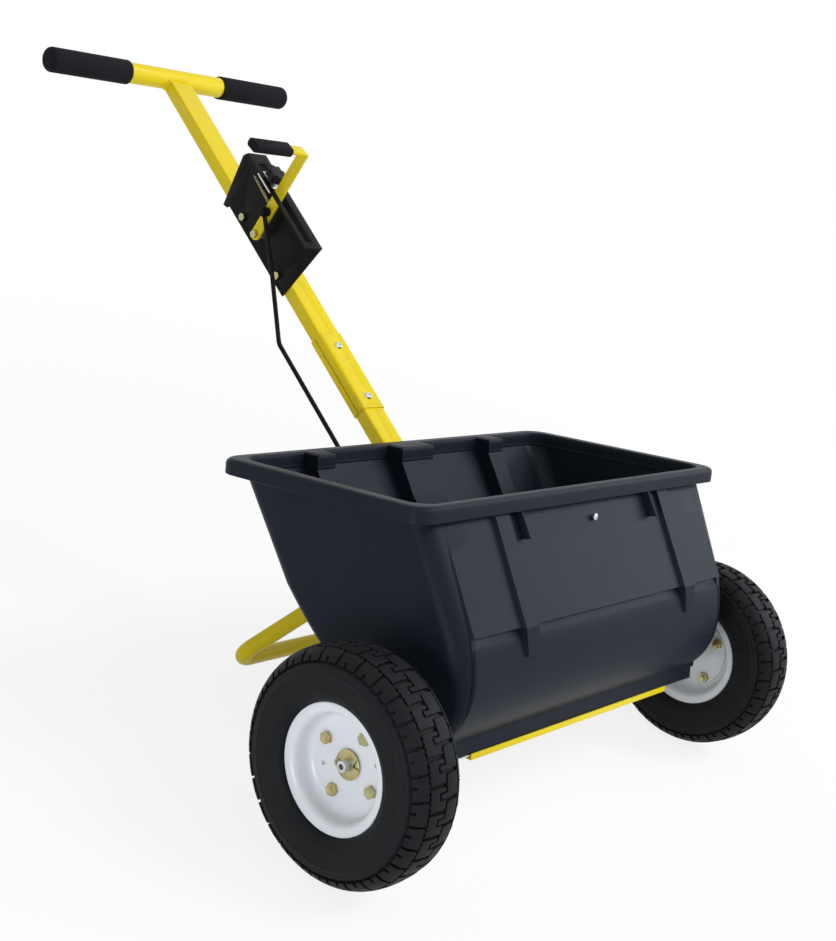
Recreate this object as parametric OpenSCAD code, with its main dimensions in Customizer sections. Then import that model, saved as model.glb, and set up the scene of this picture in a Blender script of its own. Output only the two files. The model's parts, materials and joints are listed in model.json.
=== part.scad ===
// Garden drop spreader: tub on two pneumatic wheels, handle, flow lever and parking stand.
// The machine stands on its wheels and on the stand. X is across, Y runs back towards the handle, Z is up.
// Most pieces are drawn with the tub level and are then tipped back about the axle until the stand rests.

/* [Wheels] */
// Radius of the tyre over the tread blocks
wheel_r = 165; // [150:1:175]
// Distance from the middle of the machine to the middle of a tyre
track_half = 456; // [446:1:480]
// Width of the tyre at the sidewalls
tyre_w = 100; // [92:1:104]
// Thickness of the tyre casing
casing_t = 8; // [6:0.5:11]
// Height of the tread blocks
tread_h = 6; // [3:0.5:9]
// Number of tread blocks around one shoulder
tread_count = 29; // [24:1:40]
// Width of the groove between two shoulder blocks
groove_w = 4; // [3:0.5:8]
// Radius of the bead seat of the rim
bead_r = 76; // [72:1:78]
// Radius over the rim flange
rim_flange_r = 89; // [85:0.5:92]
// Distance between the inner faces of the two rim flanges
rim_w = 66; // [60:1:70]
// Thickness of the rim sheet
rim_t = 2.5; // [2:0.5:4]
// Radius of the step ring in the rim face
rim_step_r = 61; // [58:0.5:66]
// Radius of the circle of the rim bolts
bolt_circle_r = 49.5; // [46:0.5:52]
// Number of rim bolts
rim_bolt_count = 4; // [3:1:6]
// Turn of the bolt pattern about the axle
wheel_turn = 60.5; // [0:0.5:90]
// Radius of the small holes between the rim bolts
rim_hole_r = 3.5; // [2:0.5:5]
// Radius of the hub tube
hub_r = 15; // [13:0.5:18]
// Length of the hub tube on the inner side of the rim
hub_inner_len = 60; // [50:1:64]
// Radius of the washer outside the hub
hub_washer_r = 21; // [18:0.5:26]

/* [Axle] */
// Radius of the axle
axle_r = 7.95; // [7:0.05:9]
// Radius of the hole in the end of the axle
axle_hole_r = 4.2; // [3:0.1:5]
// Length of the axle end that stands out of the hub washer
axle_end = 12; // [10:1:18]
// Radius of the split pin wire
split_pin_r = 1.6; // [1:0.1:2]
// Outer radius of the axle bushes
bush_r = 12; // [11:0.5:14]
// Number of agitator fingers
finger_count = 12; // [6:2:16]
// Reach of an agitator finger from the axle line
finger_r = 14.2; // [12:0.1:15]

/* [Tub] */
// Half of the width of the tub rim
rim_half = 395; // [385:1:405]
// Position of the front edge of the rim
rim_front = -28; // [-32:1:-22]
// Position of the back edge of the rim
rim_back = 370; // [356:1:386]
// Height of the top of the rim
rim_top = 511; // [500:1:520]
// Height of the turned-down rim lip
lip_h = 24; // [18:1:30]
// Overhang of the rim over the walls
overhang = 23; // [18:1:26]
// Corner radius of the rim
rim_corner_r = 30; // [24:1:50]
// Thickness of the tub wall
wall_t = 4; // [3:0.5:6]
// Width of the handle channel in the back wall, outside
channel_w = 74; // [74:1:84]
// Width of the two stiffening grooves in the back wall
groove_rib_w = 34; // [24:1:44]
// Distance of the grooves and of the front ribs from the middle
rib_x = 215; // [190:1:230]
// Width of a front rib
rib_w = 34; // [24:1:40]
// How far a front rib stands out of the wall
rib_h = 5; // [3:0.5:8]

/* [Floor] */
// Thickness of the floor plate, the shutter and the rails
plate_t = 2; // [1.5:0.5:3]
// Height of the lower face of the rails
rail_z = 141; // [139:0.5:143]
// Thickness of the rails
rail_t = 3; // [2:0.5:4]
// Height of a rail's upright leg
rail_h = 15; // [12:1:18]
// Height of the front rail's upright leg
front_rail_h = 9; // [6:1:15]
// Half of the length of the front rail
front_rail_half = 262; // [240:1:300]
// Width of a rail's flat leg
rail_w = 24; // [18:1:28]
// Half of the width of the tub at the bottom
floor_half = 352; // [345:1:356]
// Number of drop slots
slot_count = 10; // [8:1:18]
// Length of a drop slot along the tub
slot_len = 30; // [16:1:34]
// Width of a drop slot
slot_w = 12; // [6:0.5:13]
// Gap above and below the sliding shutter
slide_gap = 0.3; // [0.2:0.05:0.5]

/* [Handle] */
// Angle of the handle from level ground while the tub is level
handle_angle = 43.7; // [40:0.1:46]
// Height at which the line of the handle passes over the axle
handle_z = 136; // [132:0.5:140]
// Width of the handle tubes
tube_w = 50.8; // [48:0.1:52]
// Depth of the handle tubes
tube_d = 25.4; // [24:0.1:27]
// Wall of the handle tubes
tube_t = 2; // [1.5:0.5:3]
// Corner radius of the handle tubes
tube_corner_r = 4; // [3:0.5:6]
// Distance along the handle of the lower end of the lower tube
lower_end = 200; // [195:1:210]
// Distance along the handle at which the two tubes meet
tubes_meet = 679; // [670:1:690]
// Distance along the handle of the cross bar
bar_s = 1388; // [1350:1:1420]
// Radius of the cross bar
bar_r = 19; // [16:0.5:20]
// Half of the length of the cross bar
bar_half = 279; // [255:1:300]
// Radius of the foam grips
grip_r = 22; // [21:0.5:25]
// Length of a foam grip
grip_len = 172; // [150:1:190]
// Length of the splice channels
splice_len = 162; // [150:1:170]
// Thickness of the splice channels
splice_t = 2.6; // [2:0.2:3.4]
// Gap between the edges of the two splice channels
splice_gap = 4; // [2:0.5:6]
// Distance between the two splice bolts
splice_pitch = 110; // [90:1:120]

/* [Flow control] */
// Thickness of the bracket sheet
sheet_t = 3; // [2:0.5:4]
// Distance along the handle of the lower edge of the bracket
bracket_s = 868; // [860:1:880]
// Reach of the bracket in front of the middle of the handle
bracket_n = 111; // [105:1:120]
// Width of the bracket flange
flange_w = 40; // [36:1:46]
// Thickness of the control lever
lever_t = 5; // [4:0.5:6]
// Width of the control lever
lever_w = 21; // [16:0.5:24]
// Sideways position of the control lever
lever_x = -50; // [-52:0.5:-48]
// Length of the lever from pivot to bend
lever_len = 183; // [170:1:200]
// Lean of the lever from the square of the handle
lever_lean = 8.1; // [6:0.1:10]
// Distance from the lever pivot to the rod pin
rod_arm = 49.5; // [44:0.5:56]
// Length of the lever grip
lever_grip_len = 82; // [70:1:90]
// Radius of the control rod
rod_r = 4; // [3:0.5:5]
// Sideways position of the control rod
rod_x = -62; // [-64:0.5:-61]
// Radius of the stop knob
knob_r = 17; // [14:0.5:20]

/* [Stand] */
// Distance of the stand's bottom bar behind the axle
stand_y = 514; // [490:1:540]
// Height of the bottom bar while the tub is level
stand_z = 119.5; // [110:0.5:130]
// Half of the width of the stand, to the tube's middle line
stand_half = 204; // [180:1:230]
// Radius of the stand tube
stand_r = 14; // [12:0.5:15]
// Bend radius of the stand tube
stand_bend = 26; // [20:1:45]
// Distance along the handle of the stand's cross bolt
stand_s = 357; // [350:1:370]

/* [Hidden] */
$fn = 64;

// running clearance of shafts in their holes, and of pieces that pass close by
run_fit = 0.06;
side_gap = 0.3;
clear = 0.4;

// the stand touches the ground when the machine is tipped back by this angle
stand_len = norm([stand_y, stand_z - wheel_r]);
rest_tilt = atan2(stand_z - wheel_r, stand_y) + asin((wheel_r - stand_r) / stand_len);

// a point given along the handle and square to it, in the level frame
function hy(s, n) = s * cos(handle_angle) - n * sin(handle_angle);
function hz(s, n) = handle_z + s * sin(handle_angle) + n * cos(handle_angle);
// distance back of a level point after tipping
function tipped_y(y, z) = y * cos(rest_tilt) + (z - wheel_r) * sin(rest_tilt);

// the frame's middle lies between the tyre front and the back of the grips
mid_y = (tipped_y(hy(bar_s, 0), hz(bar_s, 0)) + grip_r - wheel_r) / 2;

yellow = [0.96, 0.80, 0.04];
slate = [0.10, 0.11, 0.14];
soot = [0.03, 0.03, 0.035];
gold = [0.72, 0.58, 0.26];
zinc = [0.72, 0.73, 0.74];
chalk = [0.93, 0.94, 0.96];

module parked() {
  translate([0, -mid_y, wheel_r])
    rotate([-rest_tilt, 0, 0])
      translate([0, 0, -wheel_r])
        children();
}

module on_handle() {
  parked()
    translate([0, 0, handle_z])
      rotate([handle_angle, 0, 0])
        children();
}

// the local Z axis points out of the machine, side is 1 on the right and -1 on the left
module on_wheel(side) {
  parked()
    translate([side * track_half, 0, wheel_r])
      rotate([0, side * 90, 0])
        children();
}

// a cylinder along X
module x_rod(r, from, to) {
  translate([from, 0, 0])
    rotate([0, 90, 0])
      cylinder(r = r, h = to - from);
}

// a hexagon prism on Z, given across its flats
module hex(flats, h) {
  cylinder(r = flats / 2 / cos(30), h = h, $fn = 6);
}

// a flat plate outline in the level side view, extruded along X
module side_plate(points, from, to) {
  translate([from, 0, 0])
    rotate([90, 0, 90])
      linear_extrude(to - from)
        polygon(points);
}

// ---------- wheels ----------

tyre_mid_r = wheel_r - tyre_w / 2 + 1;
casing_r = wheel_r - tread_h;
bead_gap = rim_w / 2 - 12;
bead_top = rim_flange_r + 16;
shoulder_power = 2 / 3;
shoulder_steps = 10;
groove_fall = 14;

// outline of the casing: square shoulders outside its widest point, a half circle inside it
module casing_outline(half, top) {
  up = top - tyre_mid_r;
  intersection() {
    polygon([
      for (k = [0 : 4 * shoulder_steps - 1])
        let (
          t = 90 * k / shoulder_steps,
          out = abs(cos(t)) ^ shoulder_power,
          wide = abs(sin(t)) ^ shoulder_power
        )
        k > shoulder_steps && k < 3 * shoulder_steps
          ? [tyre_mid_r + half * cos(t), half * sin(t)]
          : [tyre_mid_r + up * out, half * sign(sin(t)) * wide]
    ]);
    translate([bead_r, -tyre_w])
      square([wheel_r, 2 * tyre_w]);
  }
}

// grooves between the shoulder blocks, on both sides of the middle rib
module tread_grooves() {
  pitch = 360 / tread_count;
  for (i = [0 : tread_count - 1]) {
    rotate([0, 0, i * pitch])
      translate([casing_r, -groove_w / 2, tyre_w / 8])
        rotate([0, -groove_fall, 0])
          cube([3 * tread_h, groove_w, tyre_w / 2]);
    rotate([0, 0, (i + 0.5) * pitch])
      translate([casing_r, -groove_w / 2, -tyre_w / 8])
        rotate([0, groove_fall, 0])
          translate([0, 0, -tyre_w / 2])
            cube([3 * tread_h, groove_w, tyre_w / 2]);
  }
}

module tyre(side) {
  color(soot)
    on_wheel(side)
      difference() {
        rotate_extrude($fn = 128)
          difference() {
            casing_outline(tyre_w / 2, wheel_r);
            // the air space, narrow between the thick beads
            difference() {
              casing_outline(tyre_w / 2 - casing_t, casing_r - casing_t);
              for (end = [-1, 1])
                translate([bead_top / 2, end * (bead_gap + 20)])
                  square([bead_top, 40], center = true);
            }
            translate([bead_r - 1, -bead_gap])
              square([20, 2 * bead_gap]);
            for (end = [-1, 1])
              translate([rim_flange_r / 2 + 1, end * (rim_w / 2 + 20)])
                square([rim_flange_r + 1, 40], center = true);
            for (end = [-1, 1])
              translate([casing_r + tread_h, end * tyre_w / 7])
                square([2 * tread_h, 4], center = true);
          }
        tread_grooves();
      }
}

// one pressed half of the rim, with its disc against the middle of the wheel
module rim_half(side, face) {
  well = 9;
  color(chalk)
    on_wheel(side)
      mirror([0, 0, face > 0 ? 0 : 1])
        difference() {
          rotate_extrude($fn = 128)
            polygon([
              [hub_r + run_fit, 0], [rim_step_r, 0], [rim_step_r + 2, well - rim_t],
              [bead_r - 4, well - rim_t], [bead_r, well + 2], [bead_r, rim_w / 2],
              [rim_flange_r - 2, rim_w / 2], [rim_flange_r + 0.4, rim_w / 2 + 0.5],
              [rim_flange_r + 1, rim_w / 2 + 1.4], [rim_flange_r - 1, rim_w / 2 + rim_t],
              [bead_r - rim_t, rim_w / 2 + rim_t], [bead_r - rim_t, well + 4],
              [bead_r - 6, well], [rim_step_r, well], [rim_step_r - 2, rim_t],
              [hub_r + run_fit, rim_t]
            ]);
          rim_bolt_places()
            cylinder(r = rim_bolt_r + 0.3, h = 40, center = true);
          for (k = [0, 1])
            rotate([0, 0, wheel_turn + 45 + 180 * k])
              translate([bolt_circle_r - 1, 0, 0])
                cylinder(r = rim_hole_r, h = 40, center = true);
        }
}

rim_bolt_r = 5;
hub_flange_t = 4;

module rim_bolt_places() {
  for (k = [0 : rim_bolt_count - 1])
    rotate([0, 0, wheel_turn + k * 360 / rim_bolt_count])
      translate([bolt_circle_r, 0, 0])
        children();
}

module hub(side) {
  color(chalk)
    on_wheel(side)
      difference() {
        union() {
          translate([0, 0, -rim_t - hub_flange_t])
            cylinder(r = rim_step_r - 2, h = hub_flange_t);
          translate([0, 0, -hub_inner_len])
            cylinder(r = hub_r, h = hub_inner_len + rim_t + 2);
        }
        translate([0, 0, -hub_inner_len - 1])
          cylinder(r = axle_r + run_fit, h = hub_inner_len + 20);
        rim_bolt_places()
          cylinder(r = rim_bolt_r + 0.3, h = 40, center = true);
        if (side < 0)
          translate([0, 0, -drive_pin_in])
            rotate([0, 90, 0])
              cylinder(r = drive_pin_r + run_fit, h = 60, center = true);
      }
}

module rim_bolts(side) {
  color(gold)
    on_wheel(side)
      rim_bolt_places() {
        translate([0, 0, rim_t])
          difference() {
            hex(16, 6.5);
            translate([0, 0, 6])
              cylinder(r = 5.5, h = 1);
          }
        translate([0, 0, -18])
          cylinder(r = rim_bolt_r, h = 18 + rim_t);
      }
}

module rim_nuts(side) {
  color(gold)
    on_wheel(side)
      rim_bolt_places()
        translate([0, 0, -rim_t - hub_flange_t - 8])
          difference() {
            hex(16, 8);
            translate([0, 0, -1])
              cylinder(r = rim_bolt_r + run_fit, h = 10);
          }
}

module hub_washer(side) {
  color(gold)
    on_wheel(side)
      translate([0, 0, hub_end + side_gap])
        difference() {
          cylinder(r = hub_washer_r, h = washer_t);
          translate([0, 0, -1])
            cylinder(r = axle_r, h = washer_t + 2);
        }
}

hub_end = rim_t + 2;
washer_t = 2;
split_pin_out = hub_end + side_gap + washer_t + split_pin_r;
axle_out = hub_end + side_gap + washer_t + axle_end;

// lean of the split pin from level
pin_lean = 6;

// split pin: two legs through the axle and an eye outside it
module split_pin(side) {
  color(gold)
    on_wheel(side)
      translate([0, 0, split_pin_out])
        rotate([0, 0, 90 + pin_lean])
          difference() {
            union() {
              translate([-13, 0, 0])
                rotate([0, 90, 0])
                  cylinder(r = split_pin_r, h = 34);
              translate([-13 - 3.5, 0, 0])
                rotate([0, 0, 0])
                  rotate_extrude()
                    translate([3.5, 0])
                      circle(r = split_pin_r * 0.8);
            }
            translate([12, -0.15, -5])
              cube([20, 0.3, 10]);
          }
}

// ---------- axle and agitator ----------

drive_pin_r = 3;
drive_pin_in = hub_inner_len - 8;

module axle() {
  color(zinc)
    parked()
      translate([0, 0, wheel_r])
        difference() {
          x_rod(axle_r, -track_half - axle_out, track_half + axle_out);
          for (end = [-1, 1]) {
            translate([end * (track_half + axle_out - 15), 0, 0])
              rotate([0, 90, 0])
                cylinder(r = axle_hole_r, h = 40, center = true);
            translate([end * (track_half + split_pin_out), 0, 0])
              rotate([90 + end * pin_lean, 0, 0])
                cylinder(r = split_pin_r + run_fit, h = 40, center = true);
          }
          translate([-track_half + drive_pin_in, 0, 0])
            cylinder(r = drive_pin_r + run_fit, h = 40, center = true);
        }
}

module drive_pin() {
  color(zinc)
    parked()
      translate([-track_half + drive_pin_in, 0, wheel_r])
        cylinder(r = drive_pin_r, h = 2 * hub_r + 4, center = true);
}

module agitator_fingers() {
  pitch = 2 * (floor_half - 40) / (finger_count - 1);
  color(zinc)
    parked()
      translate([0, 0, wheel_r])
        for (i = [0 : finger_count - 1])
          translate([-floor_half + 40 + i * pitch, 0, 0])
            rotate([i * 60, 0, 0])
              difference() {
                union() {
                  x_rod(axle_r + 2.5, -5, 5);
                  translate([-1.5, -finger_r, -3])
                    cube([3, 2 * finger_r, 6]);
                }
                x_rod(axle_r, -6, 6);
              }
}

module axle_spacer(side) {
  color(zinc)
    parked()
      translate([0, 0, wheel_r])
        difference() {
          x_rod(axle_r + 3, side > 0 ? spacer_from : -spacer_to, side > 0 ? spacer_to : -spacer_from);
          x_rod(axle_r + run_fit, -2 * track_half, 2 * track_half);
        }
}

bush_flange = 3;
spacer_from = floor_half + rail_t + bush_flange + side_gap;
spacer_to = track_half - hub_inner_len;

module axle_bush(side) {
  color([0.9, 0.9, 0.88])
    parked()
      translate([0, 0, wheel_r])
        mirror([side > 0 ? 0 : 1, 0, 0])
          difference() {
            union() {
              x_rod(bush_r, floor_half - wall_t, floor_half + rail_t);
              x_rod(bush_r + 5, floor_half + rail_t, floor_half + rail_t + bush_flange);
            }
            x_rod(axle_r + run_fit, 0, 2 * track_half);
          }
}

// ---------- tub ----------

floor_top = rail_z + rail_t + 2 * slide_gap + 2 * plate_t;
wall_top = rim_top - lip_h;
skirt_front = -50;
skirt_back = 77;
crease_z = 340;
crease_y = -85;
wall_y = rim_front + overhang - 8;

// outline of the outside: height, front, back, half width, corner radius
OUT = [
  [floor_top, skirt_front, skirt_back, floor_half, 6],
  [174, skirt_front, skirt_back, floor_half, 8],
  [197, -72, 103, floor_half, 16],
  [228, -89, 140, floor_half + 3, 24],
  [262, -96, 178, floor_half + 5, 30],
  [300, -94, 220, floor_half + 7, 32],
  [crease_z, crease_y, 259, floor_half + 9, 34],
  [wall_top, wall_y, rim_back - overhang + 2, rim_half - overhang, 34],
  [rim_top, wall_y - 1, rim_back - overhang + 3, rim_half - overhang + 1, 34]
];

corner_steps = 6;

// one level of the tub as a ring of points, taken in by a wall thickness
function ring(p, inset, z) =
  let (r = max(p[4] - inset, 1.5), ax = p[3] - inset - r, near = p[1] + inset + r, far = p[2] - inset - r)
  [for (c = [0 : 3], k = [0 : corner_steps])
    let (t = 90 * c + 90 * k / corner_steps)
    [(c == 0 || c == 3 ? ax : -ax) + r * cos(t), (c < 2 ? far : near) + r * sin(t), z]];

// the walls run through all the levels, below and above them by the given lengths
module loft(inset, below, above) {
  n = 4 * (corner_steps + 1);
  last = len(OUT) - 1;
  rings = [for (i = [0 : last]) ring(OUT[i], inset, OUT[i][0] - (i == 0 ? below : 0) + (i == last ? above : 0))];
  polyhedron(
    points = [for (level = rings) each level],
    faces = concat(
      [[for (j = [0 : n - 1]) j]],
      [[for (j = [0 : n - 1]) last * n + n - 1 - j]],
      [for (i = [0 : last - 1], j = [0 : n - 1])
        [i * n + j, (i + 1) * n + j, (i + 1) * n + (j + 1) % n]],
      [for (i = [0 : last - 1], j = [0 : n - 1])
        [i * n + j, (i + 1) * n + (j + 1) % n, i * n + (j + 1) % n]]
    )
  );
}

// a plate with rounded corners, drawn as a cross of boxes and four cylinders
module round_plate(half, front, back, r, from, h) {
  translate([-half + r, front, from])
    cube([2 * (half - r), back - front, h]);
  translate([-half, front + r, from])
    cube([2 * half, back - front - 2 * r, h]);
  for (sx = [-1, 1], y = [front + r, back - r])
    translate([sx * (half - r), y, from])
      cylinder(r = r, h = h);
}

// the channel clears the front of the handle by this much, up to the notch under the rim
channel_n = tube_d / 2 + 2.3;
channel_back = rim_back - 51;
notch_top = rim_top - 8;

lip_t = 3;

// the notch rises along the handle where it cuts through the back of the lip
notch_rise_y = rim_back - lip_t - 1;
notch_end_y = rim_back + 1;
notch_gap = 1;

// height of a line along the handle where it passes a distance back
function line_z(y, n) = hz((y + n * sin(handle_angle)) / cos(handle_angle), n);

// side view of the handle channel: the floor of the channel follows the handle
function channel_points(d) = [
  [hy(lower_end - 12, channel_n + d), hz(lower_end - 12, channel_n + d)],
  [channel_back - d, line_z(channel_back - d, channel_n + d)], [channel_back + 3 - d, notch_top + d],
  [notch_rise_y, notch_top + d], [notch_end_y, line_z(notch_end_y, tube_d / 2 + notch_gap) + d],
  [rim_back + 60, line_z(notch_end_y, tube_d / 2 + notch_gap) + d], [rim_back + 60, 300], [200, 150],
  [skirt_back + 3, 150], [skirt_back + 3 - d, 178], [100 - d, 200 + d]
];

function groove_points(d) = [
  [channel_back + 3 - d, rim_top - 14 + d], [rim_back + 60, rim_top - 14 + d],
  [rim_back + 60, 260], [232 - d, 264], [228 - d, 290 + d], [channel_back - 13 - d, 440]
];

gusset_t = 3;
gusset_x = 170;
gusset_h = 36;
gusset_out = 18;
panel_h = 3.5;
panel_half = floor_half - 19;

// the raised front rib, its flat bar over the belly and the gusset beside it at the given place
module front_rib(sx, bar_to, gusset) {
  side_plate([
    [skirt_front + 45, wall_top + 2], [wall_y - rib_h, wall_top + 2],
    [crease_y - 1 - rib_h, crease_z], [crease_y + 1 - rib_h, crease_z - 18], [skirt_front + 10, crease_z - 18]
  ], sx - rib_w / 2, sx + rib_w / 2);
  side_plate([
    [-80, crease_z + 6], [-89 - rib_h, crease_z + 6], [-99 - rib_h, bar_to + 18],
    [-99 - rib_h, bar_to], [-80, bar_to]
  ], sx - rib_w / 4, sx + rib_w / 3);
  // a thin gusset under the rim, its front edge running down beside the wall
  slope = (crease_y - wall_y) / (wall_top - crease_z);
  side_plate([
    [wall_y + 12, wall_top + 2], [wall_y - gusset_out + 4, wall_top + 2],
    [wall_y - gusset_out + slope * gusset_h, wall_top - gusset_h],
    [wall_y + 12 + slope * gusset_h, wall_top - gusset_h - 7]
  ], gusset - gusset_t / 2, gusset + gusset_t / 2);
}

// the upper front panel stands proud of the corners, most of all at the crease
module front_panel() {
  side_plate([
    [crease_y - panel_h, crease_z], [crease_y + 25, crease_z],
    [wall_y + 12, wall_top + 2], [wall_y - 0.5, wall_top + 2]
  ], -panel_half, panel_half);
}

// the inside of the tub, with the backs of the handle channel and of the two grooves standing into it
module hollow() {
  difference() {
    loft(wall_t, 1, 3);
    side_plate(channel_points(wall_t), -channel_w / 2 - wall_t, channel_w / 2 + wall_t);
    for (sx = [-1, 1])
      side_plate(groove_points(wall_t), sx * rib_x - groove_rib_w / 2 - wall_t, sx * rib_x + groove_rib_w / 2 + wall_t);
  }
}

module hopper() {
  color(slate)
    parked()
      difference() {
        union() {
          difference() {
            loft(0, 0, -1);
            // the ledge under the upper front panel
            translate([-rim_half, -140, crease_z - 14])
              cube([2 * rim_half, 140 - 89, 14]);
          }
          difference() {
            round_plate(rim_half, rim_front, rim_back, rim_corner_r, wall_top, lip_h);
            round_plate(rim_half - lip_t, rim_front + lip_t, rim_back - lip_t, rim_corner_r - lip_t, wall_top - 1, lip_h + 1 - lip_t);
          }
          front_panel();
          front_rib(-rib_x + 8, 296, -gusset_x + 2);
          front_rib(rib_x + 8, 296, gusset_x + 2);
        }
        hollow();
        side_plate(channel_points(0), -channel_w / 2, channel_w / 2);
        for (sx = [-1, 1])
          side_plate(groove_points(0), sx * rib_x - groove_rib_w / 2, sx * rib_x + groove_rib_w / 2);
        translate([0, 0, wheel_r])
          x_rod(bush_r + run_fit, -track_half, track_half);
        translate([17, -40, screw_z])
          rotate([-90, 0, 0])
            cylinder(r = 3.2, h = 60);
      }
}

screw_z = 462;
screw_flats = 10;
screw_head_h = 4;
panel_slope = (wall_y - 0.5 - crease_y + panel_h) / (wall_top + 2 - crease_z);

// the head rests against the panel at its lower edge
screw_y = crease_y - panel_h + (screw_z - screw_flats / 2 - crease_z) * panel_slope - screw_head_h - 0.3;

module hopper_screw() {
  color(zinc)
    parked()
      translate([17, screw_y, screw_z])
        rotate([-90, 0, 0]) {
          hex(screw_flats, screw_head_h);
          cylinder(r = 3, h = 24);
        }
}

// ---------- floor, shutter and frame ----------

slot_pitch = 2 * (floor_half - 30) / slot_count;
slot_y = 20;

module drop_slots(y) {
  for (i = [0 : slot_count - 1])
    translate([-floor_half + 30 + (i + 0.5) * slot_pitch - slot_len / 2, y - slot_w / 2, 0])
      cube([slot_len, slot_w, 200]);
}

module floor_plate() {
  color(zinc)
    parked()
      difference() {
        translate([-floor_half, skirt_front, floor_top - plate_t])
          cube([2 * floor_half, skirt_back - skirt_front, plate_t]);
        drop_slots(slot_y);
      }
}

module shutter_plate() {
  z = rail_z + rail_t + slide_gap;
  lug_y = crank_y + 22 * sin(20);
  color(zinc)
    parked()
      difference() {
        union() {
          translate([-floor_half + 4, -30, z])
            cube([2 * floor_half - 8, 103, plate_t]);
          translate([lug_x - 10, 72, z])
            cube([20, lug_y + 10 - 72, plate_t]);
          translate([lug_x + 8, lug_y - 10, z])
            cube([2, 20, 20]);
        }
        drop_slots(slot_y);
        translate([lug_x, lug_y - 2.2, z + 6])
          cube([20, 4.4, 11]);
      }
}

module front_rail() {
  color(yellow)
    parked() {
      translate([-front_rail_half, skirt_front - rail_t, rail_z])
        cube([2 * front_rail_half, rail_w, rail_t]);
      translate([-front_rail_half, skirt_front - rail_t, rail_z])
        cube([2 * front_rail_half, rail_t, front_rail_h]);
    }
}

module rear_rail() {
  color(yellow)
    parked()
      difference() {
        union() {
          translate([-floor_half - rail_t, skirt_back + rail_t - rail_w, rail_z])
            cube([2 * (floor_half + rail_t), rail_w, rail_t]);
          translate([-floor_half - rail_t, skirt_back, rail_z])
            cube([2 * (floor_half + rail_t), rail_t, rail_h]);
        }
        translate([lug_x - 12, skirt_back - 1, rail_z + rail_t])
          cube([24, rail_t + 2, plate_t + 1.2]);
      }
}

// plate at the end of the tub that carries the bush and ties the rails
module end_bracket(side) {
  color(soot)
    parked()
      mirror([side > 0 ? 0 : 1, 0, 0])
        difference() {
          side_plate([
            [-8, rail_z + rail_t], [skirt_back, rail_z + rail_t], [skirt_back, 178],
            [24, 196], [-24, 196], [skirt_front, 178], [skirt_front, 168]
          ], floor_half, floor_half + rail_t);
          translate([0, 0, wheel_r])
            x_rod(bush_r + run_fit, 0, 2 * track_half);
        }
}

// ---------- handle ----------

// outline of a rectangular tube with rounded corners
module tube_outline(w, d, r) {
  square([w - 2 * r, d], center = true);
  square([w, d - 2 * r], center = true);
  for (sx = [-1, 1], sy = [-1, 1])
    translate([sx * (w / 2 - r), sy * (d / 2 - r)])
      circle(r = r);
}

module handle_tube(from, to) {
  translate([0, to, 0])
    rotate([90, 0, 0])
      linear_extrude(to - from)
        difference() {
          tube_outline(tube_w, tube_d, tube_corner_r);
          tube_outline(tube_w - 2 * tube_t, tube_d - 2 * tube_t, tube_corner_r - tube_t);
        }
}

m8 = 4;

// a hole through the handle, front to back
module front_hole(s, r) {
  translate([0, s, 0])
    cylinder(r = r, h = 4 * tube_d, center = true);
}

// a hole through the handle from side to side
module side_hole(s, r) {
  translate([0, s, 0])
    x_rod(r, -2 * tube_w, 2 * tube_w);
}

splice_from = tubes_meet - splice_len / 2;
splice_bolt_s = [tubes_meet - splice_pitch / 2 - 2, tubes_meet + splice_pitch / 2 - 2];
bracket_bolt_s = [903, 1041];

module upper_handle_tube() {
  color(yellow)
    on_handle()
      difference() {
        handle_tube(tubes_meet, bar_s);
        translate([0, bar_s, 0])
          x_rod(bar_r, -tube_w, tube_w);
        front_hole(splice_bolt_s[1], m8 + 0.2);
        for (s = bracket_bolt_s)
          side_hole(s, m8 + 0.2);
      }
}

module lower_handle_tube() {
  color(yellow)
    on_handle()
      difference() {
        handle_tube(lower_end, tubes_meet);
        front_hole(splice_bolt_s[0], m8 + 0.2);
        side_hole(stand_s, m8 + 0.2);
        side_hole(foot_bolt_s, m8 + 0.2);
      }
}

// a channel that wraps one half of the handle, front is 1 or -1
module splice_channel(front) {
  color(yellow)
    on_handle()
      difference() {
        intersection() {
          translate([0, splice_from + splice_len, 0])
            rotate([90, 0, 0])
              linear_extrude(splice_len)
                difference() {
                  tube_outline(tube_w + 2 * splice_t, tube_d + 2 * splice_t, tube_corner_r + splice_t);
                  tube_outline(tube_w, tube_d, tube_corner_r);
                }
          translate([-tube_w, splice_from - 1, front > 0 ? splice_gap / 2 : -tube_d - splice_gap / 2])
            cube([2 * tube_w, splice_len + 2, tube_d]);
        }
        for (s = splice_bolt_s)
          front_hole(s, m8 + 0.2);
      }
}

module splice_bolts() {
  face = tube_d / 2 + splice_t;
  color(zinc)
    on_handle()
      for (s = splice_bolt_s)
        translate([0, s, -face - 9])
          difference() {
            union() {
              cylinder(r = m8, h = 2 * face + 9);
              translate([0, 0, 2 * face + 9])
                cylinder(r1 = 7.5, r2 = 5.5, h = 4);
            }
            translate([0, 0, 2 * face + 10.5])
              hex(5, 4);
          }
}

// a nut on the local Z axis with a bore that clears the bolt
module nut(flats, h, r) {
  difference() {
    hex(flats, h);
    translate([0, 0, -1])
      cylinder(r = r + run_fit, h = h + 2);
  }
}

module splice_nuts() {
  color(zinc)
    on_handle()
      for (s = splice_bolt_s)
        translate([0, s, -tube_d / 2 - splice_t - 6.5])
          nut(13, 6.5, m8);
}

module cross_bar() {
  color(yellow)
    on_handle()
      translate([0, bar_s, 0])
        difference() {
          x_rod(bar_r, -bar_half, bar_half);
          x_rod(bar_r - 2, -bar_half - 1, bar_half + 1);
        }
}

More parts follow.
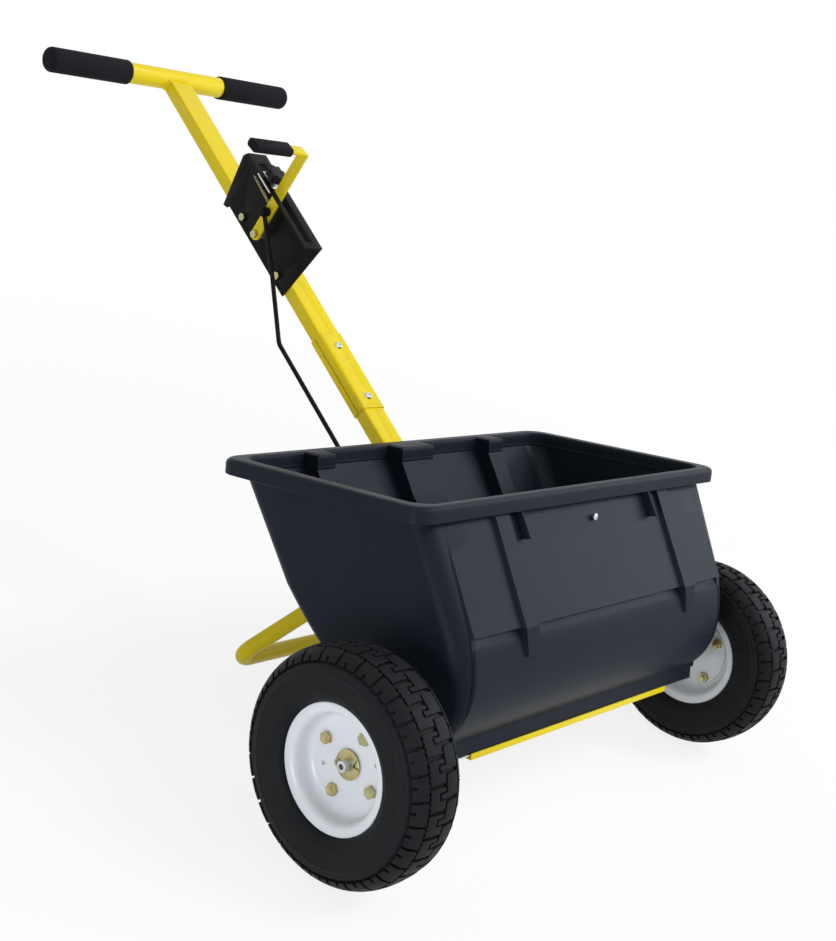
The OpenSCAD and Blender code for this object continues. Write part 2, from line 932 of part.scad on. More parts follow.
module grip(side) {
  color(soot)
    on_handle()
      translate([0, bar_s, 0])
        mirror([side > 0 ? 0 : 1, 0, 0])
          rotate([0, 90, 0])
            rotate_extrude()
              difference() {
                union() {
                  translate([0, bar_half + 4 - grip_len])
                    square([grip_r, grip_len - 8]);
                  translate([0, bar_half - 4])
                    square([grip_r - 8, 8]);
                  translate([grip_r - 8, bar_half - 4])
                    circle(r = 8);
                }
                translate([0, 0])
                  square([bar_r, bar_half]);
              }
}

// ---------- handle foot and stand ----------

foot_bolt_s = 228;
foot_t = 3;

// two cheeks beside the handle that reach down to the rear rail, joined by a foot plate
module handle_foot() {
  cheek = [
    [hy(262, 9), hz(262, 9)], [hy(262, -tube_d / 2), hz(262, -tube_d / 2)],
    [158, 225], [122, rail_z + 18], [110, rail_z], [skirt_back + rail_t, rail_z],
    [skirt_back + rail_t, rail_z + rail_h], [98, 176], [hy(208, 9), hz(208, 9)]
  ];
  color(yellow)
    parked()
      difference() {
        union() {
          side_plate(cheek, tube_w / 2, tube_w / 2 + foot_t);
          side_plate(cheek, -tube_w / 2 - foot_t, -tube_w / 2);
          translate([-tube_w / 2 - foot_t, skirt_back + rail_t, rail_z + 6])
            cube([tube_w + 2 * foot_t, foot_t, 9]);
        }
        translate([-200, hy(foot_bolt_s, 0), hz(foot_bolt_s, 0)])
          rotate([0, 90, 0])
            cylinder(r = m8 + 0.2, h = 400);
        translate([lug_x - 12, skirt_back, rail_z + rail_t])
          cube([24, 200, 25]);
      }
}

// a bolt across the handle, with its head on the right and a nut on the left
module cross_bolt(half) {
  x_rod(m8, -half - 7.2, half);
  translate([half, 0, 0])
    rotate([0, 90, 0])
      hex(13, 5.5);
  difference() {
    translate([-half - 6.5, 0, 0])
      rotate([0, 90, 0])
        hex(13, 6.5);
    x_rod(m8 - 0.5, -half - 7, -half);
  }
}

module handle_foot_bolt() {
  color(zinc)
    on_handle()
      translate([0, foot_bolt_s, 0])
        cross_bolt(tube_w / 2 + foot_t);
}

// each leg of the stand ends in a flat lug that runs down the side of the lower handle tube
stand_tab = 4;
lug_len = 46;
lug_turn = handle_angle - 90;
knee = [tube_w / 2 + stand_tab / 2, hy(stand_s, -lug_len), hz(stand_s, -lug_len)];
stand_corner = [stand_half, stand_y, stand_z];
leg = stand_corner - knee;
leg_len = norm(leg);
leg_dir = leg / leg_len;
// angle between the leg and the bottom bar, and the length the bend takes from each
bend_angle = acos(leg_dir[0]);
bend_take = stand_bend / tan(bend_angle / 2);

// a straight tube of the stand between two points
module stand_run(a, b) {
  v = b - a;
  translate(a)
    rotate([0, acos(v[2] / norm(v)), atan2(v[1], v[0])])
      cylinder(r = stand_r, h = norm(v));
}

// the bend and the leg, drawn on the right
module stand_side() {
  side_dir = -(leg_dir - [leg_dir[0], 0, 0]) / sin(bend_angle);
  stand_run(stand_corner - (bend_take - bend_lap) * leg_dir, knee + 7 * leg_dir);
  translate([stand_half - bend_take, stand_y, stand_z])
    rotate([atan2(side_dir[2], side_dir[1]), 0, 0])
      translate([0, stand_bend, 0])
        rotate([0, 0, -90])
          rotate_extrude(angle = 180 - bend_angle)
            translate([stand_bend, 0])
              circle(r = stand_r + bend_swell);
}

// flat lug with the bolt hole, bent at the knee and let into the end of the leg
module stand_lug() {
  difference() {
    translate([tube_w / 2, hy(stand_s, 0), hz(stand_s, 0)])
      rotate([lug_turn, 0, 0])
        rotate([90, 0, 90])
          linear_extrude(stand_tab) {
            circle(r = stand_r);
            translate([0, -stand_r])
              square([lug_len, 2 * stand_r]);
          }
    translate([0, hy(stand_s, 0), hz(stand_s, 0)])
      x_rod(m8 + 0.2, 0, 2 * tube_w);
  }
  translate(knee)
    rotate([atan2(leg_dir[2], leg_dir[1]), 0, 0]) {
      cylinder(r = stand_tab / 2 + 0.4, h = 2 * stand_r - 2, center = true);
      rotate([0, 0, -asin(leg_dir[0])])
        translate([-stand_tab / 2, 0, 1.5 - stand_r])
          cube([stand_tab, 30, 2 * stand_r - 3]);
    }
}

module stand_loop() {
  bar = stand_half - bend_take + bend_lap;
  color(yellow)
    parked() {
      translate([0, stand_y, stand_z])
        x_rod(stand_r, -bar, bar);
      for (side = [0, 1])
        mirror([side, 0, 0]) {
          stand_side();
          stand_lug();
        }
    }
}

module stand_bolt() {
  color(zinc)
    on_handle()
      translate([0, stand_s, 0])
        cross_bolt(tube_w / 2 + stand_tab);
}

// ---------- flow control ----------

plate_x = -tube_w / 2;
pivot = [979, 22];
pin = pivot + rod_arm * [sin(lever_lean), cos(lever_lean)];
flange_x = plate_x - sheet_t;
slot_from = 880;
slot_to = 1062;
stop_s = 1024;

// outline of the bracket plate: along the handle, then square to it
bracket_end = bracket_s + 218;
BRACKET = [
  [bracket_s, -15], [bracket_end - 6, -15], [bracket_end - 2, -22], [bracket_end + 8, -25],
  [bracket_end + 38, 70], [bracket_end + 35, 78], [bracket_end, bracket_n], [bracket_s, bracket_n]
];

module control_bracket() {
  color(soot)
    on_handle()
      difference() {
        union() {
          side_plate(BRACKET, flange_x, plate_x);
          translate([flange_x - flange_w, bracket_s, bracket_n - sheet_t])
            cube([flange_w + 1, bracket_end - bracket_s, sheet_t]);
        }
        translate([lever_x - lever_t / 2 - 6, slot_from, bracket_n - 10])
          cube([lever_t + 12, slot_to - slot_from, 20]);
        for (s = bracket_bolt_s)
          side_hole(s, m8 + 0.2);
        translate([0, pivot[0], pivot[1]])
          x_rod(m8 + 0.2, -100, 0);
        for (k = [0, 1])
          translate([-40, bracket_end + 2 + 11 * k, 60])
            rotate([-24, 0, 0])
              cube([30, 3, 9]);
      }
}

module bracket_bolts() {
  color(gold)
    on_handle()
      for (s = bracket_bolt_s)
        translate([0, s, 0]) {
          x_rod(m8, flange_x, tube_w / 2 + 10);
          translate([flange_x - 5.5, 0, 0])
            rotate([0, 90, 0])
              hex(13, 5.5);
        }
}

module bracket_nuts() {
  color(gold)
    on_handle()
      for (s = bracket_bolt_s)
        translate([tube_w / 2, s, 0])
          rotate([0, 90, 0])
            nut(13, 6.5, m8);
}

// draws in the lever's own frame: Y along the lever from its pivot
module on_lever() {
  on_handle()
    translate([0, pivot[0], pivot[1]])
      rotate([90 - lever_lean, 0, 0])
        children();
}

grip_from = lever_x - 38;

module control_lever() {
  t = lever_t;
  color(yellow)
    on_lever()
      difference() {
        union() {
          side_plate([
            [0, -lever_w / 2], [lever_len, -lever_w / 2], [lever_len, lever_w / 2], [0, lever_w / 2]
          ], lever_x - t / 2, lever_x + t / 2);
          x_rod(lever_w / 2, lever_x - t / 2, lever_x + t / 2);
          translate([grip_from - 50, lever_len - t, -lever_w / 2])
            cube([lever_x + t / 2 - grip_from + 50, t, lever_w]);
        }
        x_rod(m8 + run_fit, -100, 0);
        translate([0, rod_arm, 0])
          x_rod(m8 + run_fit, -100, 0);
        // rounded outer corner of the bend
        translate([lever_x + t / 2 - 6, lever_len - 6, -lever_w])
          difference() {
            cube([7, 7, 2 * lever_w]);
            cylinder(r = 6, h = 2 * lever_w);
          }
      }
}

module lever_grip() {
  r = 6;
  color(soot)
    on_lever()
      difference() {
        translate([grip_from - lever_grip_len, lever_len - lever_t / 2, 0])
          rotate([90, 0, 90])
            linear_extrude(lever_grip_len)
              tube_outline(lever_t + 11, lever_w + 6, r);
        translate([grip_from - 50, lever_len - lever_t, -lever_w / 2])
          cube([60, lever_t, lever_w]);
      }
}

module lever_pivot_bolt() {
  color(gold)
    on_handle()
      translate([0, pivot[0], pivot[1]]) {
        x_rod(m8, lever_x - lever_t / 2 - clear, plate_x + 8);
        translate([lever_x - lever_t / 2 - clear - 5.5, 0, 0])
          rotate([0, 90, 0])
            hex(13, 5.5);
        difference() {
          translate([plate_x, 0, 0])
            rotate([0, 90, 0])
              hex(13, 6.5);
          x_rod(m8 - 0.5, plate_x, plate_x + 7);
        }
      }
}

module lever_spacer() {
  color(zinc)
    on_handle()
      translate([0, pivot[0], pivot[1]])
        difference() {
          x_rod(7, lever_x + lever_t / 2 + clear, flange_x);
          x_rod(m8 + run_fit, -100, 0);
        }
}

// shoulder pin fixed in the lever, with the rod's eye between its collar and its head
module rod_pin() {
  color(soot)
    on_lever()
      translate([0, rod_arm, 0]) {
        x_rod(m8, rod_x - rod_r - clear - 4, lever_x + lever_t / 2 + 3);
        x_rod(8, rod_x - rod_r - clear - 4, rod_x - rod_r - clear);
        x_rod(7.5, rod_x + rod_r + clear, lever_x - lever_t / 2);
        x_rod(6.5, lever_x + lever_t / 2, lever_x + lever_t / 2 + 3);
        x_rod(spring_post_r, lever_x, spring_x + spring_wire + 2);
      }
}

// the rod is a bent wire with an eye at each end, given along the handle and square to it
crank_arm_y = -rod_arm * sin(handle_angle - lever_lean);
crank_arm_z = rod_arm * cos(handle_angle - lever_lean);
low_s = 120;
low_n = -60;
crank_y = hy(low_s, low_n) - crank_arm_y;
crank_z = hz(low_s, low_n) - crank_arm_z;
ROD = [pin, [894, 19], [787, -47], [190, -47], [low_s, low_n]];

module rod_run(a, b) {
  v = b - a;
  translate([rod_x, a[0], a[1]])
    rotate([atan2(v[1], v[0]) - 90, 0, 0])
      cylinder(r = rod_r, h = norm(v));
}

module rod_eye(p) {
  translate([0, p[0], p[1]])
    difference() {
      x_rod(m8 + rod_r + 1, rod_x - eye_t / 2, rod_x + eye_t / 2);
      x_rod(m8 + run_fit, rod_x - 20, rod_x + 20);
    }
}

rod_bend_r = 20;
eye_t = 2 * rod_r - 1.6;
bend_swell = 0.12;
bend_lap = 0.6;

function unit(v) = v / norm(v);
function turn_at(a, b, c) =
  atan2((b[0] - a[0]) * (c[1] - b[1]) - (b[1] - a[1]) * (c[0] - b[0]), (b - a) * (c - b));
function bend_room(a, b, c) = rod_bend_r * tan(abs(turn_at(a, b, c)) / 2);

// the curved piece of wire at a corner b of the rod
module rod_bend(a, b, c) {
  turn = turn_at(a, b, c);
  way = unit(b - a);
  start = b - way * bend_room(a, b, c);
  hand = turn > 0 ? 1 : -1;
  middle = start + hand * rod_bend_r * [-way[1], way[0]];
  translate([rod_x, 0, 0])
    rotate([90, 0, 90])
      translate(middle)
        rotate([0, 0, atan2(way[1], way[0]) - hand * 90 + min(turn, 0)])
          rotate_extrude(angle = abs(turn))
            translate([rod_bend_r, 0])
              circle(r = rod_r + bend_swell);
}

module control_rod() {
  eye = m8 + rod_r - 1;
  last = len(ROD) - 1;
  room = [for (i = [0 : last]) i == 0 || i == last ? eye : bend_room(ROD[i - 1], ROD[i], ROD[i + 1]) - bend_lap];
  color(soot)
    on_handle() {
      rod_eye(ROD[0]);
      rod_eye(ROD[last]);
      for (i = [0 : last - 1])
        rod_run(ROD[i] + room[i] * unit(ROD[i + 1] - ROD[i]), ROD[i + 1] - room[i + 1] * unit(ROD[i + 1] - ROD[i]));
      for (i = [1 : last - 1])
        rod_bend(ROD[i - 1], ROD[i], ROD[i + 1]);
    }
}

spring_r = 3.5;
spring_wire = 0.7;
spring_x = lever_x + 12;
spring_post_r = 2.6;
spring_hook = [1092, 67];
spring_v = spring_hook - pin;
spring_len = norm(spring_v);
hook_len = 9;
spring_turns = 24;

// close-wound tension spring drawn as a ribbed tube, with an eye on the rod pin and a hook in the bracket
module return_spring() {
  coil_from = spring_post_r + 2 * spring_wire + hook_len / 2;
  pitch = (spring_len - coil_from - hook_len) / spring_turns;
  color(zinc)
    on_handle()
      translate([spring_x, pin[0], pin[1]])
        rotate([atan2(spring_v[1], spring_v[0]) - 90, 0, 0]) {
          rotate([0, 90, 0])
            rotate_extrude()
              translate([spring_post_r + spring_wire + run_fit, 0])
                circle(r = spring_wire, $fn = 24);
          translate([0, 0, spring_post_r + spring_wire])
            cylinder(r = spring_wire, h = hook_len);
          translate([0, 0, coil_from])
            rotate_extrude()
              difference() {
                for (i = [0 : spring_turns - 1])
                  translate([0, i * pitch])
                    square([i % 2 == 0 ? spring_r : spring_r - 0.4, pitch + 0.01]);
                translate([-1, 1.5])
                  square([spring_r - 0.6, spring_turns * pitch - 3]);
              }
          translate([0, 0, spring_len - hook_len - 1])
            cylinder(r = spring_wire, h = hook_len + 1);
          translate([0, 0, spring_len])
            x_rod(spring_wire, -spring_wire, plate_x - spring_x + 2);
        }
}

// the block slides under the flange and its stud passes through the slot into the knob
module stop_block() {
  under = bracket_n - sheet_t;
  w = lever_t + 12 - 2 * clear;
  near = pivot[0] + (bracket_n - pivot[1]) * tan(lever_lean) + lever_w / 2 / cos(lever_lean) + clear;
  color(zinc)
    on_handle() {
      translate([lever_x - 11, near, under - slide_gap - 8])
        cube([22, stop_s + 24 - near, 8]);
      translate([lever_x - w / 2, near, under - slide_gap - 0.01])
        cube([w, stop_s + 14 - near, sheet_t + slide_gap]);
      translate([lever_x, stop_s, under - 1])
        cylinder(r = 4, h = 20);
    }
}

module stop_knob() {
  color(soot)
    on_handle()
      translate([lever_x, stop_s, bracket_n + slide_gap])
        difference() {
          union() {
            cylinder(r = 8, h = 8);
            translate([0, 0, 6])
              cylinder(r = knob_r - 3.5, h = 14);
            for (k = [0 : 6])
              rotate([0, 0, k * 360 / 7])
                translate([knob_r - 4, 0, 6])
                  cylinder(r = 4, h = 14, $fn = 32);
          }
          translate([0, 0, -1])
            cylinder(r = 4 + run_fit, h = 18);
        }
}

// ---------- shutter linkage ----------

lug_x = -42;
crank_x = -56;

module crank_place() {
  parked()
    translate([0, crank_y, crank_z])
      children();
}

arm_b = [22 * sin(20), 22 * cos(20)];

// bent crank: the long arm takes the rod, the short arm moves the shutter
module shutter_crank() {
  t = 3;
  arm_a = [crank_arm_y, crank_arm_z];
  color(soot)
    crank_place()
      difference() {
        union() {
          side_plate([
            [-7, -7], [7, -5], [arm_b[0] + 6, arm_b[1] - 2], [arm_b[0] + 2, arm_b[1] + 6],
            [arm_b[0] - 6, arm_b[1] + 4], [0, 10], [arm_a[0] + 7, arm_a[1] + 4],
            [arm_a[0] - 2, arm_a[1] + 8], [arm_a[0] - 8, arm_a[1]]
          ], crank_x - t / 2, crank_x + t / 2);
          translate([0, arm_a[0], arm_a[1]]) {
            x_rod(m8, rod_x - rod_r - clear - 3, crank_x);
            x_rod(7, rod_x - rod_r - clear - 3, rod_x - rod_r - clear);
          }
          translate([0, arm_b[0], arm_b[1]])
            x_rod(2, crank_x, lug_x + 12);
        }
        x_rod(m8 + run_fit, -100, 0);
      }
}

// arm from the rear rail that carries the pivot of the crank
module crank_bracket() {
  color(soot)
    parked()
      difference() {
        union() {
          side_plate([
            [skirt_back + rail_t, rail_z - 2], [skirt_back + rail_t, rail_z - 12], [crank_y, crank_z - 12],
            [crank_y + 10, crank_z - 4], [crank_y + 10, crank_z + 5], [crank_y, crank_z + 7]
          ], crank_x + 2.5, crank_x + 5.5);
          translate([crank_x + 2.5, skirt_back - 18, rail_z - 3])
            cube([24, 24, 3]);
          translate([crank_x + 2.5, skirt_back, rail_z - 12])
            cube([3, 6, 12]);
        }
        translate([0, crank_y, crank_z])
          x_rod(m8 + 0.2, -100, 0);
      }
}

module crank_pivot_bolt() {
  color(zinc)
    crank_place() {
      x_rod(m8, crank_x - 2, crank_x + 12);
      x_rod(6.5, crank_x - 5.5, crank_x - 2);
      translate([crank_x + 5.5, 0, 0])
        rotate([0, 90, 0])
          hex(13, 5);
    }
}

hopper();
hopper_screw();
floor_plate();
shutter_plate();
front_rail();
rear_rail();
end_bracket(-1);  // left_end_bracket
end_bracket(1);  // right_end_bracket
axle_bush(-1);  // left_axle_bush
axle_bush(1);  // right_axle_bush
axle();
agitator_fingers();
axle_spacer(-1);  // left_axle_spacer
axle_spacer(1);  // right_axle_spacer
drive_pin();
upper_handle_tube();
lower_handle_tube();
splice_channel(1);  // splice_front_channel
splice_channel(-1);  // splice_rear_channel
splice_bolts();
splice_nuts();
cross_bar();
grip(-1);  // left_grip
grip(1);  // right_grip
handle_foot();
handle_foot_bolt();
stand_loop();
stand_bolt();
control_bracket();
bracket_bolts();
bracket_nuts();
control_lever();
lever_grip();
lever_pivot_bolt();
lever_spacer();
rod_pin();
control_rod();
return_spring();
stop_block();
stop_knob();
shutter_crank();
crank_bracket();
crank_pivot_bolt();
tyre(-1);  // left_tyre
tyre(1);  // right_tyre
rim_half(-1, 1);  // left_outer_rim
rim_half(1, 1);  // right_outer_rim
rim_half(-1, -1);  // left_inner_rim
rim_half(1, -1);  // right_inner_rim
hub(-1);  // left_hub
hub(1);  // right_hub
rim_bolts(-1);  // left_rim_bolts
rim_bolts(1);  // right_rim_bolts
rim_nuts(-1);  // left_rim_nuts
rim_nuts(1);  // right_rim_nuts
hub_washer(-1);  // left_hub_washer
hub_washer(1);  // right_hub_washer
split_pin(-1);  // left_split_pin
split_pin(1);  // right_split_pin
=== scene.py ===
import json
import math
import bpy
from mathutils import Matrix, Vector


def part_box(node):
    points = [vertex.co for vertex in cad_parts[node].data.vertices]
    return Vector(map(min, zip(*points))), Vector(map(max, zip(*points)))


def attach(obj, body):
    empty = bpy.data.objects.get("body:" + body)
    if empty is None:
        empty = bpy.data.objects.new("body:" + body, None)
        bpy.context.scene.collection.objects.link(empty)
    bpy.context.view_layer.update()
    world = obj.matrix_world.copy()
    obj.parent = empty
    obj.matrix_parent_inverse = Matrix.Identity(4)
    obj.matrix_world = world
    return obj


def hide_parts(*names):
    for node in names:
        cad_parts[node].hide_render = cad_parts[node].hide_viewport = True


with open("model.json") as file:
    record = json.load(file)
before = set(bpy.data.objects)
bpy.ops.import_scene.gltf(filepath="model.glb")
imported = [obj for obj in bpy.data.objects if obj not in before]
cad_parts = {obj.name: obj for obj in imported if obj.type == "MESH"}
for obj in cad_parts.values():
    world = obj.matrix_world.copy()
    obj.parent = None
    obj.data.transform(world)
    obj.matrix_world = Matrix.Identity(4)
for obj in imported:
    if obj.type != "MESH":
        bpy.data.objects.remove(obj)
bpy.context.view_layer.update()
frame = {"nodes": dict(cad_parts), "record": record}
nodes = frame["nodes"]
record = frame["record"]
joints = {joint["name"]: joint for joint in record["behaviour"]["joints"]}
bodyOf = {node: body for body, members in record["behaviour"]["bodies"].items() for node in members}
slotOf = {part["node"]: part["material_slot"] for part in record["subparts"]}
print("frame loaded:", len(nodes), "nodes")

mm = 0.001
across = Vector((1, 0, 0))
levelBack = Vector(joints["shutter_slide"]["axis"])  # the tub's own level, tipped back while parked
levelUp = across.cross(levelBack)
handleAlong = Vector(joints["stop_slide"]["axis"])
handleFront = across.cross(handleAlong)
axleMiddle = Vector(joints["left_wheel_spin"]["pos_m"])


def boxOf(node):
    low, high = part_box(node)
    return Vector(low), Vector(high)


def middleOf(node):
    low, high = boxOf(node)
    return (low + high) / 2


def axes(origin, x, y, z):  # a placing matrix from an origin and three directions
    turn = Matrix((x, y, z)).transposed().to_4x4()
    return Matrix.Translation(origin) @ turn


wheelRadius = axleMiddle.z
levelFrame = axes(axleMiddle - wheelRadius * levelUp, across, levelBack, levelUp)
barAlong = 1388 * mm  # the cross bar's distance along the handle
handleFrame = axes(middleOf("cross_bar") - barAlong * handleAlong, across, handleAlong, handleFront)


class Field:  # one socket, so that shader maths reads as a plain expression
    def __init__(self, tree, socket):
        self.tree = tree
        self.socket = socket

    def maths(self, operation, first, second=None):
        made = self.tree.nodes.new("ShaderNodeMath")
        made.operation = operation
        for slot, value in zip(made.inputs, (first, second)):
            if isinstance(value, Field):
                self.tree.links.new(value.socket, slot)
            elif value is not None:
                slot.default_value = value
        return Field(self.tree, made.outputs[0])

    def __add__(self, other):
        return self.maths("ADD", self, other)

    def __radd__(self, other):
        return self.maths("ADD", other, self)

    def __sub__(self, other):
        return self.maths("SUBTRACT", self, other)

    def __rsub__(self, other):
        return self.maths("SUBTRACT", other, self)

    def __mul__(self, other):
        return self.maths("MULTIPLY", self, other)

    def __rmul__(self, other):
        return self.maths("MULTIPLY", other, self)

    def above(self, level, softness):  # 0 below a level, 1 over it
        step = self.tree.nodes.new("ShaderNodeMapRange")
        step.interpolation_type = "SMOOTHSTEP"
        self.tree.links.new(self.socket, step.inputs["Value"])
        step.inputs["From Min"].default_value = level - softness
        step.inputs["From Max"].default_value = level + softness
        return Field(self.tree, step.outputs[0])


class Finish:  # one material and the nodes of its pattern
    def __init__(self, name, **constants):
        self.material = bpy.data.materials.new(name)
        self.material.use_nodes = True
        self.tree = self.material.node_tree
        self.shader = self.tree.nodes["Principled BSDF"]
        for socket, value in constants.items():
            self.shader.inputs[socket.replace("_", " ")].default_value = value
        self.place = self.node("TexCoord", output="Object")

    def node(self, kind, settings=None, inputs=None, output=0):
        made = self.tree.nodes.new("ShaderNode" + kind)
        for key, value in (settings or {}).items():
            if key == "stops":  # the colours along a ramp
                while len(made.color_ramp.elements) < len(value):
                    made.color_ramp.elements.new(0.5)
                for element, (position, colour) in zip(made.color_ramp.elements, value):
                    element.position = position
                    element.color = (*colour, 1)
            else:
                setattr(made, key, value)
        for key, value in (inputs or {}).items():
            if isinstance(value, Field):
                self.tree.links.new(value.socket, made.inputs[key])
            else:
                made.inputs[key].default_value = value
        return Field(self.tree, made.outputs[output])

    def noise(self, scale, detail=3, roughness=0.5, stretch=None):
        place = self.place
        if stretch:
            place = self.node("Mapping", inputs={"Vector": place, "Scale": stretch})
        return self.node("TexNoise", inputs={"Vector": place, "Scale": scale, "Detail": detail,
                                             "Roughness": roughness})

    def cells(self, scale):
        return self.node("TexVoronoi", inputs={"Vector": self.place, "Scale": scale})

    def blend(self, factor, first, second):
        colours = {6: first if isinstance(first, Field) else (*first, 1),
                   7: second if isinstance(second, Field) else (*second, 1)}
        return self.node("Mix", {"data_type": "RGBA"}, {0: factor, **colours}, output=2)

    def ramp(self, factor, stops):
        return self.node("ValToRGB", {"stops": stops}, {"Fac": factor})

    def feed(self, colour, roughness, bumps):  # bumps are (height, distance) pairs, the broad one first
        self.tree.links.new(colour.socket, self.shader.inputs["Base Color"])
        self.tree.links.new(roughness.socket, self.shader.inputs["Roughness"])
        normal = None
        for height, distance in bumps:
            inputs = {"Height": height, "Distance": distance, "Strength": 1.0}
            if normal:
                inputs["Normal"] = normal
            normal = self.node("Bump", inputs=inputs)
        self.tree.links.new(normal.socket, self.shader.inputs["Normal"])
        return self.material


def paintedSteel(name, look):
    finish = Finish(name, Coat_Weight=look["coat"], Coat_Roughness=0.12, Specular_IOR_Level=look["gloss"])
    cloud = finish.noise(14, 4, 0.55)
    peel = finish.noise(900, 2)
    speck = finish.noise(2600, 1).above(0.72, 0.02)
    scratch = finish.noise(60, 6, 0.75, (1, 1, 9)).above(0.68, 0.03)
    dust = finish.noise(5, 5, 0.6).above(0.62, 0.16)
    colour = finish.blend(cloud, look["deep"], look["colour"])
    colour = finish.blend(speck * 0.25 + scratch * look["scratch"], colour, look["scuffed"])
    colour = finish.blend(dust * look["dust"], colour, (0.42, 0.38, 0.3))
    roughness = look["roughness"] + cloud * 0.08 + scratch * 0.12 + dust * 0.1
    return finish.feed(colour, roughness, [(peel, 0.00006), (scratch, 0.00003)])


def platedSteel(name, look):
    finish = Finish(name, Metallic=1.0)
    cloud = finish.noise(90, 5, 0.6)
    tint = finish.noise(35, 3, 0.6)
    grain = finish.noise(1600, 3)
    streak = finish.noise(400, 4, 0.6, (1, 12, 1))
    colour = finish.ramp(tint, look["tints"])
    colour = finish.blend(cloud.above(0.6, 0.2) * 0.35, colour, look["dull"])
    roughness = look["roughness"] + cloud * 0.16 + streak * 0.08
    return finish.feed(colour, roughness, [(grain, 0.00004), (streak, 0.00003)])


def tubPlastic():
    look = {"colour": (0.0105, 0.015, 0.024), "deep": (0.009, 0.0128, 0.0205),
            "scuffed": (0.03, 0.034, 0.042)}
    finish = Finish("tubPlastic", Specular_IOR_Level=0.07)
    cloud = finish.noise(7, 4, 0.5)
    flow = finish.noise(22, 5, 0.55, (1, 1, 0.35))
    grain = finish.noise(2400, 2)
    leather = finish.cells(1500)
    scuff = finish.noise(45, 7, 0.8, (1, 5, 1)).above(0.7, 0.03)
    dust = finish.noise(10, 6, 0.62).above(0.6, 0.2)
    colour = finish.blend(cloud, look["deep"], look["colour"])
    colour = finish.blend(scuff * 0.35, colour, look["scuffed"])
    colour = finish.blend(dust * 0.012, colour, (0.3, 0.28, 0.25))
    roughness = 0.36 + flow * 0.06 + scuff * 0.12 + dust * 0.06
    return finish.feed(colour, roughness, [(flow, 0.0002), (grain, 0.00003), (leather, 0.00004)])


def tyreRubber():
    look = {"colour": (0.0085, 0.009, 0.0105), "worn": (0.0135, 0.0142, 0.016), "dust": (0.05, 0.048, 0.044)}
    finish = Finish("tyreRubber", Specular_IOR_Level=0.075)
    cloud = finish.noise(18, 5, 0.6)
    grain = finish.noise(1500, 3, 0.6)
    fine = finish.noise(300, 4, 0.6)
    dust = finish.noise(32, 6, 0.7).above(0.62, 0.1)
    colour = finish.blend(cloud, look["colour"], look["worn"])
    colour = finish.blend(dust * 0.12, colour, look["dust"])
    roughness = 0.46 + cloud * 0.12 + dust * 0.15
    return finish.feed(colour, roughness, [(fine, 0.0002), (grain, 0.00008)])


def gripFoam():
    look = {"colour": (0.0085, 0.0088, 0.011), "pale": (0.016, 0.0165, 0.02)}
    finish = Finish("gripFoam", Specular_IOR_Level=0.06)
    pores = finish.cells(1300)
    cloud = finish.noise(40, 4, 0.6)
    fuzz = finish.noise(2200, 3, 0.7)
    colour = finish.blend(cloud * 0.5 + pores * 0.4, look["colour"], look["pale"])
    roughness = 0.66 + cloud * 0.16
    return finish.feed(colour, roughness, [(pores, 0.00022), (fuzz, 0.0001)])


def knobPlastic():
    finish = Finish("knobPlastic", Specular_IOR_Level=0.12)
    cloud = finish.noise(70, 4)
    grain = finish.cells(2600)
    colour = finish.blend(cloud, (0.008, 0.008, 0.009), (0.018, 0.018, 0.02))
    roughness = 0.34 + cloud * 0.14
    return finish.feed(colour, roughness, [(grain, 0.00004)])


def bushNylon():
    finish = Finish("bushNylon", Subsurface_Weight=0.1)
    cloud = finish.noise(60, 4)
    grease = finish.noise(90, 5, 0.7).above(0.62, 0.08)
    colour = finish.blend(cloud, (0.72, 0.7, 0.64), (0.8, 0.79, 0.74))
    colour = finish.blend(grease * 0.5, colour, (0.16, 0.13, 0.09))
    return finish.feed(colour, 0.4 + cloud * 0.15, [(finish.noise(1200, 2), 0.00005)])


finishes = {
    "yellow_paint": paintedSteel("yellowPaint", {
        "colour": (0.85, 0.67, 0.012), "deep": (0.81, 0.62, 0.009), "scuffed": (0.66, 0.5, 0.06),
        "coat": 0.05, "gloss": 0.16, "roughness": 0.3, "scratch": 0.25, "dust": 0.03}),
    "black_paint": paintedSteel("blackPaint", {
        "colour": (0.0075, 0.0075, 0.007), "deep": (0.0055, 0.0055, 0.0052), "scuffed": (0.04, 0.04, 0.04),
        "coat": 0.02, "gloss": 0.06, "roughness": 0.34, "scratch": 0.2, "dust": 0.005}),
    "white_paint": paintedSteel("whitePaint", {
        "colour": (0.78, 0.8, 0.83), "deep": (0.72, 0.745, 0.785), "scuffed": (0.55, 0.56, 0.58),
        "coat": 0.3, "gloss": 0.5, "roughness": 0.26, "scratch": 0.15, "dust": 0.03}),
    "bright_zinc": platedSteel("brightZinc", {
        "tints": [(0.3, (0.5, 0.52, 0.54)), (0.55, (0.62, 0.63, 0.63)), (0.8, (0.7, 0.7, 0.68))],
        "dull": (0.36, 0.37, 0.38), "roughness": 0.28}),
    "yellow_zinc": platedSteel("yellowZinc", {
        "tints": [(0.25, (0.44, 0.32, 0.14)), (0.45, (0.52, 0.43, 0.2)), (0.6, (0.4, 0.42, 0.24)),
                  (0.78, (0.47, 0.34, 0.22))],
        "dull": (0.2, 0.16, 0.09), "roughness": 0.2}),
    "tub_plastic": tubPlastic(),
    "tyre_rubber": tyreRubber(),
    "grip_foam": gripFoam(),
    "knob_plastic": knobPlastic(),
    "bush_nylon": bushNylon(),
}
print("finishes made:", len(finishes))


def toObject():
    if bpy.context.object and bpy.context.object.mode != "OBJECT":
        bpy.ops.object.mode_set(mode="OBJECT")


def pick(piece):
    toObject()
    bpy.ops.object.select_all(action="DESELECT")
    piece.select_set(True)
    bpy.context.view_layer.objects.active = piece


def toEdit(piece, kind="VERT"):
    if bpy.context.object is not piece:
        pick(piece)
    bpy.ops.object.mode_set(mode="EDIT")
    bpy.ops.mesh.select_mode(type=kind)


